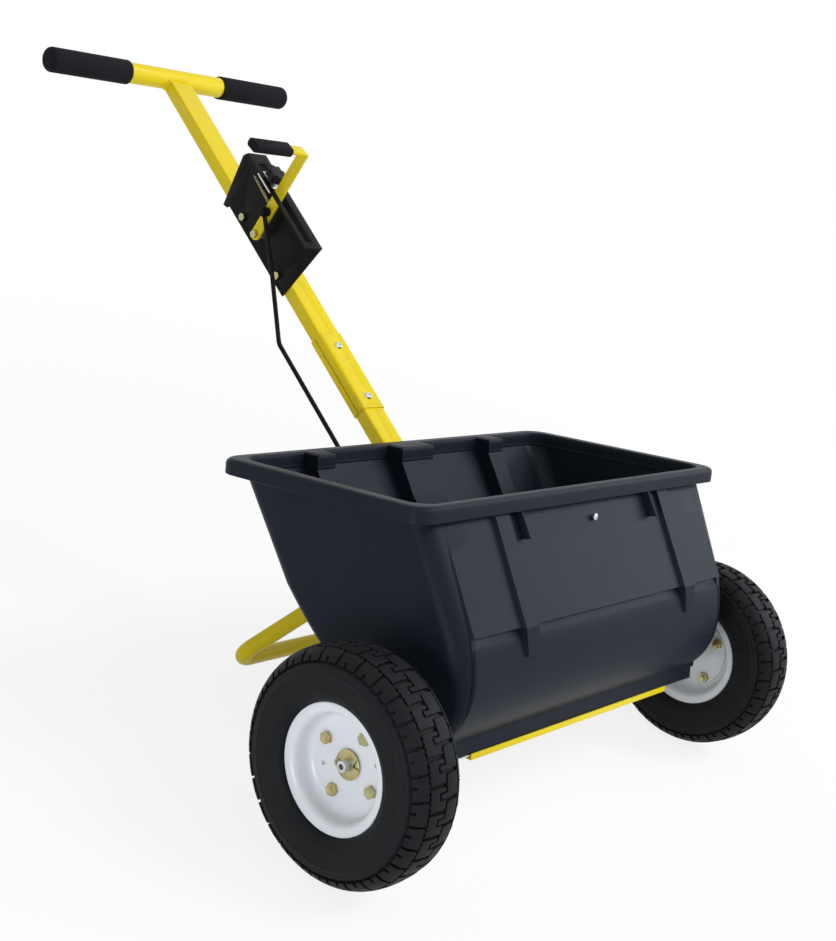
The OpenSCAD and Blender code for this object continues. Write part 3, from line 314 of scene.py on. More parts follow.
def choose(piece, kind, test):  # selects what passes the test, and stays in edit mode
    toEdit(piece, kind)
    bpy.ops.mesh.select_all(action="DESELECT")
    toObject()
    parts = {"VERT": piece.data.vertices, "EDGE": piece.data.edges, "FACE": piece.data.polygons}[kind]
    for part in parts:
        part.select = bool(test(part))
    bpy.ops.object.mode_set(mode="EDIT")


def place(piece, matrix):  # puts a piece in its place and leaves the object at the origin
    pick(piece)
    piece.matrix_world = matrix @ piece.matrix_world
    bpy.ops.object.transform_apply(location=True, rotation=True, scale=True)


def finishMesh(piece, smoothAngle=35, clean=0.00001):
    toEdit(piece)
    bpy.ops.mesh.select_all(action="SELECT")
    bpy.ops.mesh.remove_doubles(threshold=clean)
    bpy.ops.mesh.normals_make_consistent(inside=False)
    toObject()
    pick(piece)
    bpy.ops.object.shade_smooth_by_angle(angle=math.radians(smoothAngle))


def roundEdges(piece, width, segments=2, angle=40):
    pick(piece)
    bevel = piece.modifiers.new("rounding", "BEVEL")
    bevel.width = width
    bevel.segments = segments
    bevel.limit_method = "ANGLE"
    bevel.angle_limit = math.radians(angle)
    bevel.use_clamp_overlap = True
    bpy.ops.object.modifier_apply(modifier=bevel.name)


def settle(piece, body, slot, replaced=()):
    piece.data.materials.clear()
    piece.data.materials.append(finishes[slot])
    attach(piece, body)
    if replaced:
        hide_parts(*replaced)


def copyOf(piece, name):
    pick(piece)
    bpy.ops.object.duplicate()
    copied = bpy.context.object
    copied.name = name
    copied.data.name = name
    return copied


def joined(pieces, name):
    pick(pieces[0])
    for piece in pieces[1:]:
        piece.select_set(True)
    bpy.ops.object.join()
    whole = bpy.context.object
    whole.name = name
    whole.data.name = name
    return whole


def drawLine(name, points):  # a chain of edges, drawn by extruding one corner
    toObject()
    bpy.ops.object.select_all(action="DESELECT")
    bpy.ops.mesh.primitive_plane_add(size=0.001)
    piece = bpy.context.object
    piece.name = name
    piece.data.name = name
    toEdit(piece)
    bpy.ops.mesh.select_all(action="SELECT")
    bpy.ops.mesh.merge(type="CENTER")
    bpy.ops.transform.translate(value=Vector(points[0]))
    for start, end in zip(points, points[1:]):
        step = Vector(end) - Vector(start)
        bpy.ops.mesh.extrude_vertices_move(TRANSFORM_OT_translate={"value": step})
    toObject()
    return piece


def spun(name, outline, steps=96, closed=True):  # outline: (radius, height), turned about Z
    points = [Vector((radius, 0, height)) for radius, height in outline]
    if closed:
        points.append(points[0])
    piece = drawLine(name, points)
    toEdit(piece)
    bpy.ops.mesh.select_all(action="SELECT")
    bpy.ops.mesh.remove_doubles(threshold=0.000001)
    bpy.ops.mesh.select_all(action="SELECT")
    bpy.ops.mesh.spin(steps=steps, angle=2 * math.pi, center=(0, 0, 0), axis=(0, 0, 1))
    bpy.ops.mesh.select_all(action="SELECT")
    bpy.ops.mesh.remove_doubles(threshold=0.000005)
    toObject()
    return piece


def ringTower(name, rings):  # a ring of corners, extruded and reshaped level by level
    toObject()
    bpy.ops.object.select_all(action="DESELECT")
    bpy.ops.mesh.primitive_circle_add(vertices=len(rings[0]), radius=1)
    piece = bpy.context.object
    piece.name = name
    piece.data.name = name
    for vertex, point in zip(piece.data.vertices, rings[0]):
        vertex.co = point
    toEdit(piece)
    bpy.ops.mesh.select_all(action="SELECT")
    lift = Vector((0, 0, 0.05))
    for lower, upper in zip(rings, rings[1:]):
        bpy.ops.mesh.extrude_edges_move(TRANSFORM_OT_translate={"value": lift})
        toObject()
        spot = {tuple(round(c, 5) for c in Vector(point) + lift): i for i, point in enumerate(lower)}
        for vertex in piece.data.vertices:
            if vertex.select:
                vertex.co = upper[spot[tuple(round(c, 5) for c in vertex.co)]]
        bpy.ops.object.mode_set(mode="EDIT")
    toObject()
    return piece


def tube(name, points, radius, sides=4):  # a round wire or bead along a line
    piece = drawLine(name, points)
    if (Vector(points[0]) - Vector(points[-1])).length < 1e-6:
        toEdit(piece)
        bpy.ops.mesh.select_all(action="SELECT")
        bpy.ops.mesh.remove_doubles(threshold=0.000001)
    pick(piece)
    bpy.ops.object.convert(target="CURVE")
    line = bpy.context.object.data
    line.bevel_depth = radius
    line.bevel_resolution = sides
    line.use_fill_caps = True
    bpy.ops.object.convert(target="MESH")
    return bpy.context.object


def pierced(piece, spot, radius):  # a round hole right through, along Z
    bpy.ops.mesh.primitive_cylinder_add(vertices=32, radius=radius, depth=0.05, location=spot)
    drill = bpy.context.object
    pick(piece)
    cut = piece.modifiers.new("hole", "BOOLEAN")
    cut.operation = "DIFFERENCE"
    cut.solver = "EXACT"
    cut.object = drill
    bpy.ops.object.modifier_apply(modifier=cut.name)
    bpy.data.objects.remove(drill)


def mixed(a, b, t):
    return a + (b - a) * t


tub = {
    # height, front, back, half width and corner radius of the outside, in mm
    "levels": [(148.6, -50, 77, 352, 6), (174, -50, 77, 352, 8), (197, -72, 103, 352, 16),
               (228, -89, 140, 355, 24), (262, -96, 178, 357, 30), (300, -94, 220, 359, 32),
               (340, -85, 259, 361, 34), (487, -13, 349, 372, 34), (511, -14, 350, 373, 34)],
    "wall": 4, "wallTop": 487,
    # the heights at which the wall is drawn
    "rings": [148.6, 174, 178, 183, 190, 197, 200.5, 206, 214, 222, 231, 240, 250, 259, 267, 269, 276, 283,
              290, 295.5, 298, 306, 315, 323.5, 325, 331, 336, 339.6, 340, 350, 365, 380, 400, 420, 439, 441,
              455, 470, 487, 496, 498, 502.6],
    "seam": (491, 489), "seamDepth": 0.9,  # the mould's line inside, under the rim
    "rimTop": 511, "lipDepth": 24, "lipWall": 3, "lipHalf": 395, "lipFront": -28, "lipBack": 370,
    "lipRadius": 30, "lipBend": 8, "skirtInside": 0.86,  # the last is a share of the lip's reach
    "curveFoot": 174, "crease": 340, "creaseDepth": 4.5, "creaseFade": 16,
    "panelHalf": 333, "panelProud": 4.5, "panelTop": 0.8,
    "ribs": [-207, 223], "ribWidth": 34, "ribProud": 7, "ribFoot": 296,
    "footLeft": 7, "footRight": 13, "footProud": 4, "footFade": 40,
    "gussets": [-168, 172], "gussetThick": 3,
    "gussetFront": [(-48.6, 451), (-27, 489)], "gussetBack": [(-18.6, 444), (-1, 489)],
    "channelHalf": 37, "channelDeep": 30, "channelClear": 15, "channelFoot": [(200, 100), (282, 129)],
    "handleStart": 136, "notchTop": 503, "skirtNotch": 507,
    "grooves": [-215, 215], "grooveHalf": 17, "grooveDeep": 27, "grooveFoot": 268, "grooveSlope": 30,
}


def tubLevel(height):  # the outline's values at a height, along a smooth curve through the levels
    levels = tub["levels"]
    height = min(max(height, levels[0][0]), levels[-1][0])
    i = max(k for k in range(len(levels) - 1) if levels[k][0] <= height)
    low, high = levels[i], levels[i + 1]
    step = high[0] - low[0]
    t = (height - low[0]) / step
    values = []
    for k in range(1, 5):
        if not tub["curveFoot"] <= low[0] < tub["crease"]:
            values.append(mixed(low[k], high[k], t))
            continue
        own = (high[k] - low[k]) / step
        before, after = levels[i - 1], levels[min(i + 2, len(levels) - 1)]
        start = (high[k] - before[k]) / (high[0] - before[0]) if low[0] > tub["curveFoot"] else own
        end = (after[k] - low[k]) / (after[0] - low[0]) if high[0] < tub["crease"] else own
        values.append((2 * t ** 3 - 3 * t ** 2 + 1) * low[k] + (3 * t ** 2 - 2 * t ** 3) * high[k]
                      + step * (start * (t ** 3 - 2 * t ** 2 + t) + end * (t ** 3 - t ** 2)))
    return values


def ribEdges(rib, height):  # a rib's two edges, which draw together below the crease
    drop = min(max((tub["crease"] - height) / (tub["crease"] - tub["ribFoot"]), 0), 1)
    half = tub["ribWidth"] / 2
    return rib - mixed(half, tub["footLeft"], drop), rib + mixed(half, tub["footRight"], drop)


def frontProud(x, height):  # how far the front stands out of the plain wall
    crease, panelProud = tub["crease"], tub["panelProud"]
    proud = 0
    if abs(x) < tub["panelHalf"]:
        if height >= crease:
            up = (height - crease) / (tub["wallTop"] - crease)
            proud = mixed(panelProud, tub["panelTop"], min(up, 1))
        else:
            proud = -tub["creaseDepth"] * max(0, 1 - (crease - height) / tub["creaseFade"])
    for rib in tub["ribs"]:
        left, right = ribEdges(rib, height)
        if left < x < right:
            if height >= crease:
                proud += tub["ribProud"]
            elif height > tub["ribFoot"] + 1:
                down = (crease - height) / tub["footFade"]
                proud = mixed(panelProud + tub["ribProud"], tub["footProud"], down)
    return proud


def channelFloor(height, inset):  # the handle's channel, in the side view
    turn = math.atan2(levelBack.cross(handleAlong).x, levelBack.dot(handleAlong))
    front = tub["channelClear"] + inset
    along = (height - tub["handleStart"] - front * math.cos(turn)) / math.sin(turn)
    floor = along * math.cos(turn) - front * math.sin(turn)
    (low, lowBack), (high, highBack) = tub["channelFoot"]
    if height < high:
        floor = mixed(lowBack, highBack, (height - low) / (high - low)) - inset
    if height < low:
        floor = tubLevel(height)[1]
    return min(floor, tubLevel(height)[1] - tub["channelDeep"] - inset)


def grooveFloor(height, inset):  # a groove as deep all the way up, with a slope at its foot
    foot, deep = tub["grooveFoot"], tub["grooveDeep"]
    if height < foot:
        return tub["lipBack"]
    return tubLevel(height)[1] - deep * min((height - foot) / tub["grooveSlope"], 1) - inset


def frontStops(height):  # places across the front where something starts or ends
    stops = {0.0}
    for edge in (-tub["panelHalf"], tub["panelHalf"]):
        stops |= {edge - 1.5, edge + 1.5}
    for rib in tub["ribs"]:
        for edge in ribEdges(rib, height):
            stops |= {edge - 1, edge + 1}
    grid = {k * 40.0 for k in range(-7, 8)}
    stops |= {x for x in grid if all(abs(x - rib) > tub["ribWidth"] * 0.8 for rib in tub["ribs"])}
    return sorted(stops)


def backStops():
    stops = set()
    for middle, half in ((0, tub["channelHalf"]), (tub["grooves"][0], tub["grooveHalf"]),
                         (tub["grooves"][1], tub["grooveHalf"])):
        for edge in (middle - half, middle + half):
            stops |= {edge - 2.5, edge + 2.5, edge - 5.5, edge + 5.5}
    stops |= {k * 50.0 for k in range(-6, 7)}
    return sorted(stops)


def tubRing(height, inset=0, grow=None, plain=False):  # one level of the tub, outside or inside
    front, back, half, radius = tubLevel(height)
    if grow is not None:  # the rim's own outline, taken from the wall outwards
        walls = (front, back, half, radius)
        lips = (tub["lipFront"], tub["lipBack"], tub["lipHalf"], tub["lipRadius"])
        front, back, half, radius = [mixed(wall, lip, grow) for wall, lip in zip(walls, lips)]
    front, back, half = front + inset, back - inset, half - inset
    radius = max(radius - inset, 2)
    points = []
    for x in frontStops(height):  # left to right along the front
        proud = 0 if plain or inset else frontProud(x, height)
        points.append((x, front - proud, height))
    corners = [(half - radius, front + radius, -90), (half - radius, back - radius, 0),
               (radius - half, back - radius, 90), (radius - half, front + radius, 180)]
    for i, (x, y, start) in enumerate(corners):
        for k in range(11):
            turn = math.radians(start + 9 * k)
            points.append((x + radius * math.cos(turn), y + radius * math.sin(turn), height))
        if i in (0, 2):
            ends = (front + radius, back - radius) if i == 0 else (back - radius, front + radius)
            for k in range(1, 8):
                points.append((half if i == 0 else -half, mixed(*ends, k / 8), height))
        if i == 1:
            for x in reversed(backStops()):
                y, z = back, height
                if not plain:
                    if abs(x) < tub["channelHalf"] + inset:
                        y = min(back, channelFloor(height, inset))
                    for groove in tub["grooves"]:
                        if abs(x - groove) < tub["grooveHalf"] + inset:
                            y = min(back, grooveFloor(height, inset))
                if grow is not None and abs(x) < tub["channelHalf"]:
                    z = max(z, tub["skirtNotch"])  # the handle leaves through the skirt
                points.append((x, y, z))
    return [Vector(point) * mm for point in points]


def rimRings():  # under the lip, down inside its skirt, up its outside and over the top
    crest, under = tub["rimTop"], tub["lipWall"] + 1
    inner, skirt, bend = tub["skirtInside"], crest - tub["lipDepth"], tub["lipBend"]
    path = [(crest - under - 1, 0.03), (crest - under, 0.12), (crest - under, inner - 0.1),
            (crest - under - 1.5, inner), (skirt + 0.6, inner), (skirt, inner + 0.04), (skirt, 0.96),
            (skirt + 0.8, 1)]
    for k in range(5):  # the soft outer edge
        turn = math.radians(22.5 * k)
        path.append((crest - bend + bend * math.sin(turn), 1 - 0.36 * (1 - math.cos(turn))))
    path += [(crest, 0.2), (crest, 0.08)]
    rings = [tubRing(height, grow=grow, plain=True) for height, grow in path]
    for drop, inset in ((0, 1.2), (0.5, 2.4), (1.8, 3.4), (4, tub["wall"])):
        rings.append(tubRing(crest - drop, inset=inset))
    return rings


def makeTub():
    wall, (seamTop, seamFoot), deep = tub["wall"], tub["seam"], tub["wall"] + tub["seamDepth"]
    rings = [tubRing(height) for height in tub["rings"]]
    rings.append(tubRing(tub["notchTop"] + 0.4, plain=True))  # the channel and the grooves end under the lip
    rings += rimRings()
    for height in reversed(tub["rings"]):
        if height == tub["wallTop"]:
            rings += [tubRing(seamTop + 0.8, inset=wall), tubRing(seamTop, inset=deep),
                      tubRing(seamFoot, inset=deep), tubRing(seamFoot - 0.8, inset=wall)]
        rings.append(tubRing(height, inset=wall))
    piece = ringTower("tub", rings)
    bottom = tub["levels"][0][0] * mm
    corners = piece.data.vertices
    choose(piece, "EDGE", lambda edge: all(abs(corners[v].co.z - bottom) < 1e-5 for v in edge.vertices))
    bpy.ops.mesh.bridge_edge_loops()  # the open bottom's edge
    finishMesh(piece, 24)
    gussets = [makeGusset(middle) for middle in tub["gussets"]]
    piece = joined([piece] + gussets, "tub")
    place(piece, levelFrame)
    settle(piece, "chassis", "tub_plastic", ["hopper"])
    return piece


def makeGusset(middle):  # the thin web under the rim, beside a rib
    toObject()
    bpy.ops.object.select_all(action="DESELECT")
    bpy.ops.mesh.primitive_cube_add(size=1)
    piece = bpy.context.object
    for vertex in piece.data.vertices:
        side, depth, level = [1 if c > 0 else -1 for c in vertex.co]
        y, z = tub["gussetBack" if depth > 0 else "gussetFront"][level > 0]
        vertex.co = Vector((middle + side * tub["gussetThick"] / 2, y, z)) * mm
    roundEdges(piece, 0.8 * mm, 2)
    finishMesh(piece, 40)
    return piece


tyre = {
    "radius": wheelRadius / mm, "section": 50, "middle": 116, "square": 2 / 3,
    "rimWidth": 66, "pitches": 29, "tread": 5, "treadEnd": 147,
    "channel": 6, "groove": 3.4, "grooveAt": -2, "tab": 12,
    "saw": 2.6, "sawAt": 28.5, "teeth": 4, "tooth": 1.6,
    # the sidewall's raised rings: radius and half width
    "wallSkin": 0.9, "wallEnd": 98, "wallRings": [(131, 1.3), (105, 1.6)],
    # radius and offset, down to the rim's flange and then up the tyre's inside
    "bead": [(95, 42.6), (92.6, 40.2), (91.4, 38), (90.8, 34.4)],
    "inside": [(82, 20), (88, 21), (100, 30)], "insideWidths": (62, 45, 28, 12),
}


def tyreCurve():  # the casing from the crown down: length so far, radius, offset and the way out
    spots = []
    for k in range(721):
        turn = math.radians(k / 4)
        radius = tyre["middle"] + tyre["section"] * math.cos(turn)
        offset = tyre["section"] * math.sin(turn)
        if k < 360:
            radius = tyre["middle"] + (tyre["radius"] - tyre["middle"]) * math.cos(turn) ** tyre["square"]
            offset = tyre["section"] * math.sin(turn) ** tyre["square"]
        spots.append(Vector((radius, offset)))
    lengths = [0]
    for start, end in zip(spots, spots[1:]):
        lengths.append(lengths[-1] + (end - start).length)
    ways = []
    for k in range(len(spots)):
        run = spots[min(k + 3, len(spots) - 1)] - spots[max(k - 3, 0)]
        ways.append(Vector((run.y, -run.x)).normalized() if k > 1 else Vector((1, 0)))
    return list(zip(lengths, spots, ways))


casing = tyreCurve()


def lengthTo(radius):  # how far from the crown the casing has fallen to a radius
    return next(length for length, spot, way in casing if spot.x <= radius)


def tyreSurface(w, depth=0):  # radius and offset at a distance w across the tread, and under the surface
    length = min(abs(w), casing[-1][0] - 0.001)
    low, high = 0, len(casing) - 1
    while high - low > 1:
        half = (low + high) // 2
        low, high = (half, high) if casing[half][0] <= length else (low, half)
    t = (length - casing[low][0]) / max(casing[high][0] - casing[low][0], 1e-9)
    spot = casing[low][1].lerp(casing[high][1], t) - depth * casing[low][2].lerp(casing[high][2], t)
    return spot.x, math.copysign(spot.y, w) if w else 0


def tyreBody():
    reach, tread = lengthTo(tyre["treadEnd"]), tyre["tread"]
    half = [tyreSurface(reach * k / 14, tread) for k in range(15)]
    half += [tyreSurface(reach + 1.5, tread - 0.4), tyreSurface(reach + 4, 1.8),
             tyreSurface(reach + 6.5, 0.7)]
    length = reach + 6
    while True:  # down the sidewall, with two raised rings from the mould
        length += 2.5
        radius = tyreSurface(length)[0]
        if radius < tyre["wallEnd"]:
            break
        raised = any(abs(radius - middle) < spread for middle, spread in tyre["wallRings"])
        half.append(tyreSurface(length, 0 if raised else tyre["wallSkin"]))
    flangeSide = tyre["rimWidth"] / 2 - 0.2
    half += tyre["bead"] + [(89.4, flangeSide), (84, flangeSide - 0.4), (79.4, flangeSide - 2.6),
                            (77, flangeSide - 7), (76.4, flangeSide - 11)] + tyre["inside"]
    for w in tyre["insideWidths"]:
        radius, offset = tyreSurface(w, 9)
        half.append((radius, min(offset, 38)))
    left = [(radius, -offset) for radius, offset in reversed(half)]
    outline = left[:-1] + half
    return spun("tyre", [(radius * mm, offset * mm) for radius, offset in outline], steps=140)


def sawed(start, end, teeth, depth):  # a saw-toothed line between two points
    points = []
    for k in range(teeth * 2 + 1):
        t = k / (teeth * 2)
        push = depth if k % 2 else 0
        points.append((mixed(start[0], end[0], t), mixed(start[1], end[1], t) + push))
    return points


def treadOutlines(pitch):  # the blocks of one pitch, laid flat: around the tyre, then across it
    long = pitch - tyre["channel"]
    gap, saw, tab = tyre["groove"] / 2, tyre["sawAt"] - tyre["saw"] / 2, tyre["tab"]
    middle, teeth, tooth = tyre["grooveAt"], tyre["teeth"], tyre["tooth"]
    leftEdge, rightEdge = middle - gap, middle + gap
    left = [(0, rightEdge + tab - 2 * gap), (6.5, rightEdge + tab - 2 * gap), (6.5, leftEdge),
            (long - 1, leftEdge), (long + 0.6, -10), (long + 0.8, -20)]
    left += sawed((long, -saw), (0, -saw), teeth, tooth) + [(0.8, -20), (0.2, -10), (0, leftEdge)]
    start = pitch / 2 + 2
    notch = pitch - 2.6
    right = [(start + 1, rightEdge), (notch, rightEdge), (notch, rightEdge + tab),
             (notch + 11.6, rightEdge + tab), (notch + 11.6, rightEdge), (start + long, rightEdge),
             (start + long + 0.9, 10), (start + long + 0.9, 20)]
    right += sawed((start + long, saw), (start, saw), teeth, -tooth) + [(start + 0.9, 20), (start + 1.1, 10)]
    outlines = [left, right]
    near, far = tyre["sawAt"] + tyre["saw"] / 2, lengthTo(tyre["treadEnd"])
    for side, shift in ((-1, pitch / 2), (1, 2)):  # the shoulder's blocks, each with a notch in its outer end
        end, halfway = shift + pitch - 3.6, shift + pitch / 2
        block = sawed((shift, side * near), (end, side * near), teeth, side * -tooth)
        block += [(end, side * (near + 8)), (end - 1, side * (near + 9)), (end - 1, side * far),
                  (halfway + 2.5, side * far), (halfway + 2, side * (far - 7)),
                  (halfway - 2, side * (far - 7)), (halfway - 2.5, side * far),
                  (shift + 0.6, side * far), (shift, side * (near + 10))]
        outlines.append(block)
    return outlines


def treadBlock(outline):  # one flat block: an outline, filled, raised and inset on top
    toObject()
    bpy.ops.object.select_all(action="DESELECT")
    bpy.ops.mesh.primitive_circle_add(vertices=len(outline), radius=1, fill_type="NGON")
    block = bpy.context.object
    for vertex, (u, w) in zip(block.data.vertices, outline):
        vertex.co = (u, w, 0)
    toEdit(block, "FACE")
    bpy.ops.mesh.select_all(action="SELECT")
    bpy.ops.mesh.normals_make_consistent(inside=False)
    bpy.ops.mesh.extrude_region_move(TRANSFORM_OT_translate={"value": (0, 0, tyre["tread"] - 0.5)})
    bpy.ops.mesh.inset(thickness=0.5, depth=0.5)
    bpy.ops.mesh.select_all(action="SELECT")
    bpy.ops.mesh.normals_make_consistent(inside=False)
    bpy.ops.mesh.quads_convert_to_tris(ngon_method="BEAUTY")
    toObject()
    return block


def sliced(block):  # cut across every few millimetres, so that the block can bend over the shoulder
    low = min(vertex.co.y for vertex in block.data.vertices)
    high = max(vertex.co.y for vertex in block.data.vertices)
    toEdit(block)
    for k in range(1, int((high - low) / 5)):
        bpy.ops.mesh.select_all(action="SELECT")
        bpy.ops.mesh.bisect(plane_co=(0, low + 5 * k, 0), plane_no=(0, 1, 0))
    toObject()
    return block


def makeTread():
    pitch = 2 * math.pi * tyre["radius"] / tyre["pitches"]
    blocks = [sliced(treadBlock(outline)) for outline in treadOutlines(pitch)]
    flat = joined(blocks, "flatTread")
    copies = []
    for k in range(tyre["pitches"]):
        module = copyOf(flat, f"tread{k}")
        for vertex in module.data.vertices:
            u, w, height = vertex.co
            radius, offset = tyreSurface(w, tyre["tread"] - height)
            turn = (u + k * pitch) / tyre["radius"]
            vertex.co = Vector((radius * math.cos(turn), radius * math.sin(turn), offset)) * mm
        copies.append(module)
    bpy.data.objects.remove(flat)
    return joined(copies, "tread")


def wheelFrame(side):  # local Z points out of the machine
    origin = axleMiddle.copy()
    origin.x = middleOf(f"{side}_tyre").x
    outward = across if side == "right" else -across
    return axes(origin, levelUp, outward.cross(levelUp), outward)


def makeTyres():
    tread = makeTread()
    finishMesh(tread, 24)
    body = tyreBody()
    finishMesh(body, 40)
    left = joined([body, tread], "leftTyre")
    right = copyOf(left, "rightTyre")
    for piece, side in ((left, "left"), (right, "right")):
        place(piece, wheelFrame(side))
        settle(piece, f"{side}_wheel", "tyre_rubber", [f"{side}_tyre"])


rim = {"hub": 15.2, "flat": 58, "seat": 73.5, "flange": 90, "side": 33, "thick": 2.5, "hollow": 15,
       "bow": 9, "bowFrom": 23, "holeSpot": 48.5, "hole": 3.5, "holeTurn": 105.5}


def makeRim(side, face):  # one pressed dish: a flat disc, a curve to the bead seat, and a rolled edge
    flat, seat, thick, wide = rim["flat"], rim["seat"], rim["thick"], rim["side"]
    front = [(rim["hub"], thick), (flat - 2, thick)]
    for k in range(9):  # the hollow of the dish
        turn = math.radians(90 * k / 8)
        rise = rim["hollow"] * (1 - math.cos(turn)) ** 1.2
        front.append((flat + (seat - flat) * math.sin(turn), thick + rise))
    back = [(min(radius, seat) + thick, max(height - thick * 1.2, 0)) for radius, height in front[3:]]
    bow, lift = rim["bow"], wide + 1.6 - rim["bowFrom"]
    for k in range(9):  # and the bow from the seat out to the flange
        turn = math.radians(90 * k / 8)
        out, up = 1 - math.cos(turn), math.sin(turn)
        front.append((seat + bow * out, rim["bowFrom"] + lift * up))
        back.append((seat + thick + (bow - 2) * out, rim["bowFrom"] + (lift - 2) * up))
    rolled = [(rim["flange"] - inward, wide + height)
              for inward, height in ((2.4, 2.5), (0.8, 2.4), (0, 1.6), (0.2, 0.6), (1.6, 0.1))]
    outline = front + rolled + list(reversed(back)) + [(flat, 0), (rim["hub"], 0)]
    outline = [(radius * mm, height * mm) for radius, height in outline]
    piece = spun(f"{side}{face.title()}Rim", outline, steps=128)
    for k in (0, 1):
        turn = math.radians(rim["holeTurn"] + 180 * k)
        pierced(piece, Vector((math.cos(turn), math.sin(turn), 0)) * rim["holeSpot"] * mm, rim["hole"] * mm)
    finishMesh(piece, 30)
    if face == "inner":
        place(piece, Matrix.Scale(-1, 4, (0, 0, 1)))
        finishMesh(piece, 30)
    place(piece, wheelFrame(side))
    node = f"{side}_{face}_rim"
    settle(piece, bodyOf[node], slotOf[node], [node])


def mergedCopy(node):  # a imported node's copy, with its triangles joined into whole faces
    piece = copyOf(nodes[node], node.replace("_", " ").title().replace(" ", "") + "Finished")
    toEdit(piece)
    bpy.ops.mesh.select_all(action="SELECT")
    bpy.ops.mesh.remove_doubles(threshold=0.00001)
    bpy.ops.mesh.dissolve_limited(angle_limit=math.radians(0.5))
    toObject()
    return piece


def softened(node, width, segments=2, smoothAngle=35):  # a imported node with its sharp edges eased
    piece = mergedCopy(node)
    roundEdges(piece, width, segments)
    pick(piece)
    bpy.ops.object.shade_smooth_by_angle(angle=math.radians(smoothAngle))
    settle(piece, bodyOf[node], slotOf[node], [node])
    return piece


grips = {"radius": 22, "inner": 19.2, "overlap": 5, "end": 9}


def makeGrip(side):
    low, high = boxOf(f"{side}_grip")
    length, radius, inner, end = (high.x - low.x) / mm, grips["radius"], grips["inner"], grips["end"]
    outline = [(inner, 0), (radius - 1.4, 0), (radius - 0.4, 0.5), (radius, 1.8), (radius, length - end)]
    for k in range(1, 7):  # the rounded end
        turn = math.radians(15 * k)
        outline.append((radius - end + end * math.cos(turn), length - end + end * math.sin(turn)))
    floor = length - grips["overlap"]  # the end of the grip's bore, inside the bar's own end
    outline += [(0.01, length), (0.01, floor), (inner, floor)]
    piece = spun(f"{side}Grip", [(r * mm, z * mm) for r, z in outline], steps=72)
    finishMesh(piece, 40)
    outward = across if side == "right" else -across
    start = middleOf(f"{side}_grip")
    start.x = low.x if side == "right" else high.x
    place(piece, axes(start, handleFront, outward.cross(handleFront), outward))
    settle(piece, "chassis", "grip_foam", [f"{side}_grip"])


weld = {"tubeHalf": 25.4, "tubeDepth": 12.7, "clear": 0.6, "squareness": 0.3, "barRadius": 19,
        "bead": 2.2, "ripples": 40, "ripple": 0.35}


def makeWeld():  # the bead where the handle's tube meets the cross bar
    half, depth, barRadius = weld["tubeHalf"], weld["tubeDepth"], weld["barRadius"]
    points = []
    for k in range(81):
        turn = 2 * math.pi * k / 80
        x, n = math.cos(turn), math.sin(turn)
        x = math.copysign(abs(x) ** weld["squareness"], x) * (half + weld["clear"])
        n = math.copysign(abs(n) ** weld["squareness"], n) * (depth + weld["clear"])
        along = barAlong / mm - math.sqrt(barRadius ** 2 - n ** 2) - 0.4
        along += weld["ripple"] * math.sin(weld["ripples"] * turn)
        points.append(Vector((x, along, n)) * mm)
    points[-1] = points[0]
    bead = tube("weldBead", points, weld["bead"] * mm)
    finishMesh(bead, 60)
    place(bead, handleFrame)
    settle(bead, "chassis", "yellow_paint")


spring = {"radius": 2.8, "wire": 0.7, "turns": 26, "hook": 9}


def makeSpring():  # the lever's return spring, close wound, with a hook at each end
    node = "return_spring"
    local = [handleFrame.inverted() @ vertex.co for vertex in nodes[node].data.vertices]
    ends = []
    for pickEnd in (min, max):
        tip = pickEnd(local, key=lambda spot: spot.y)
        near = [spot for spot in local if (spot - tip).length < 6 * mm]
        ends.append(sum(near, Vector()) / len(near))
    start, end = ends
    run = (end - start).normalized()
    side = Vector((1, 0, 0))
    other = run.cross(side)
    first, last = start + run * spring["hook"] * mm, end - run * spring["hook"] * mm
    steps = spring["turns"] * 10
    points = [start, mixed(start, first, 0.6)]
    for k in range(steps + 1):
        turn = 2 * math.pi * k / 10
        points.append(mixed(first, last, k / steps)
                      + (side * math.cos(turn) + other * math.sin(turn)) * spring["radius"] * mm)
    points += [mixed(end, last, 0.6), end]
    wire = tube("returnSpring", points, spring["wire"] * mm, 2)
    finishMesh(wire, 60)
    place(wire, handleFrame)
    settle(wire, bodyOf[node], "yellow_zinc", [node])


splitPin = {"wire": 1.0, "ring": 4.2, "ringAt": 13, "long": 34, "turn": 276}


def makeSplitPin(side):  # a wire bent back on itself, with a ring at one end and the legs sprung apart
    node = f"{side}_split_pin"
    middle = wheelFrame(side).inverted() @ middleOf(node)
    wire, ring, ringAt, long = splitPin["wire"], splitPin["ring"], splitPin["ringAt"], splitPin["long"]
    points = []
    for k in range(13):  # round the eye, from one leg to the other
        turn = math.radians(30 + 25 * k)
        points.append(Vector((-ringAt - ring + ring * math.cos(turn), ring * math.sin(turn), 0)))
    upper = [Vector((-9, wire, 0)), Vector((11, wire, 0)), Vector((long - ringAt - 3, wire + 9, 0))]
    lower = [Vector((long - ringAt, -wire - 2, 0)), Vector((12, -wire, 0)), Vector((-9, -wire, 0))]
    points = [point * mm for point in list(reversed(upper)) + points + list(reversed(lower))]
    pin = tube(f"{side}SplitPin", points, wire * mm, 3)
    finishMesh(pin, 60)
    turn = Matrix.Rotation(math.radians(splitPin["turn"]), 4, "Z")
    place(pin, Matrix.Translation((0, 0, middle.z)) @ turn)
    place(pin, wheelFrame(side))
    settle(pin, bodyOf[node], slotOf[node], [node])


makeTub()
print("tub made")
makeTyres()
print("tyres made")
for side in ("left", "right"):
    for face in ("outer", "inner"):
        makeRim(side, face)
    makeGrip(side)
    makeSplitPin(side)
print("rims, grips and pins made")
makeWeld()
makeSpring()
print("weld and spring made")

dressed = ["hopper", "return_spring"] + [f"{side}_{kind}" for side in ("left", "right")
                                         for kind in ("tyre", "grip", "outer_rim", "inner_rim", "split_pin")]
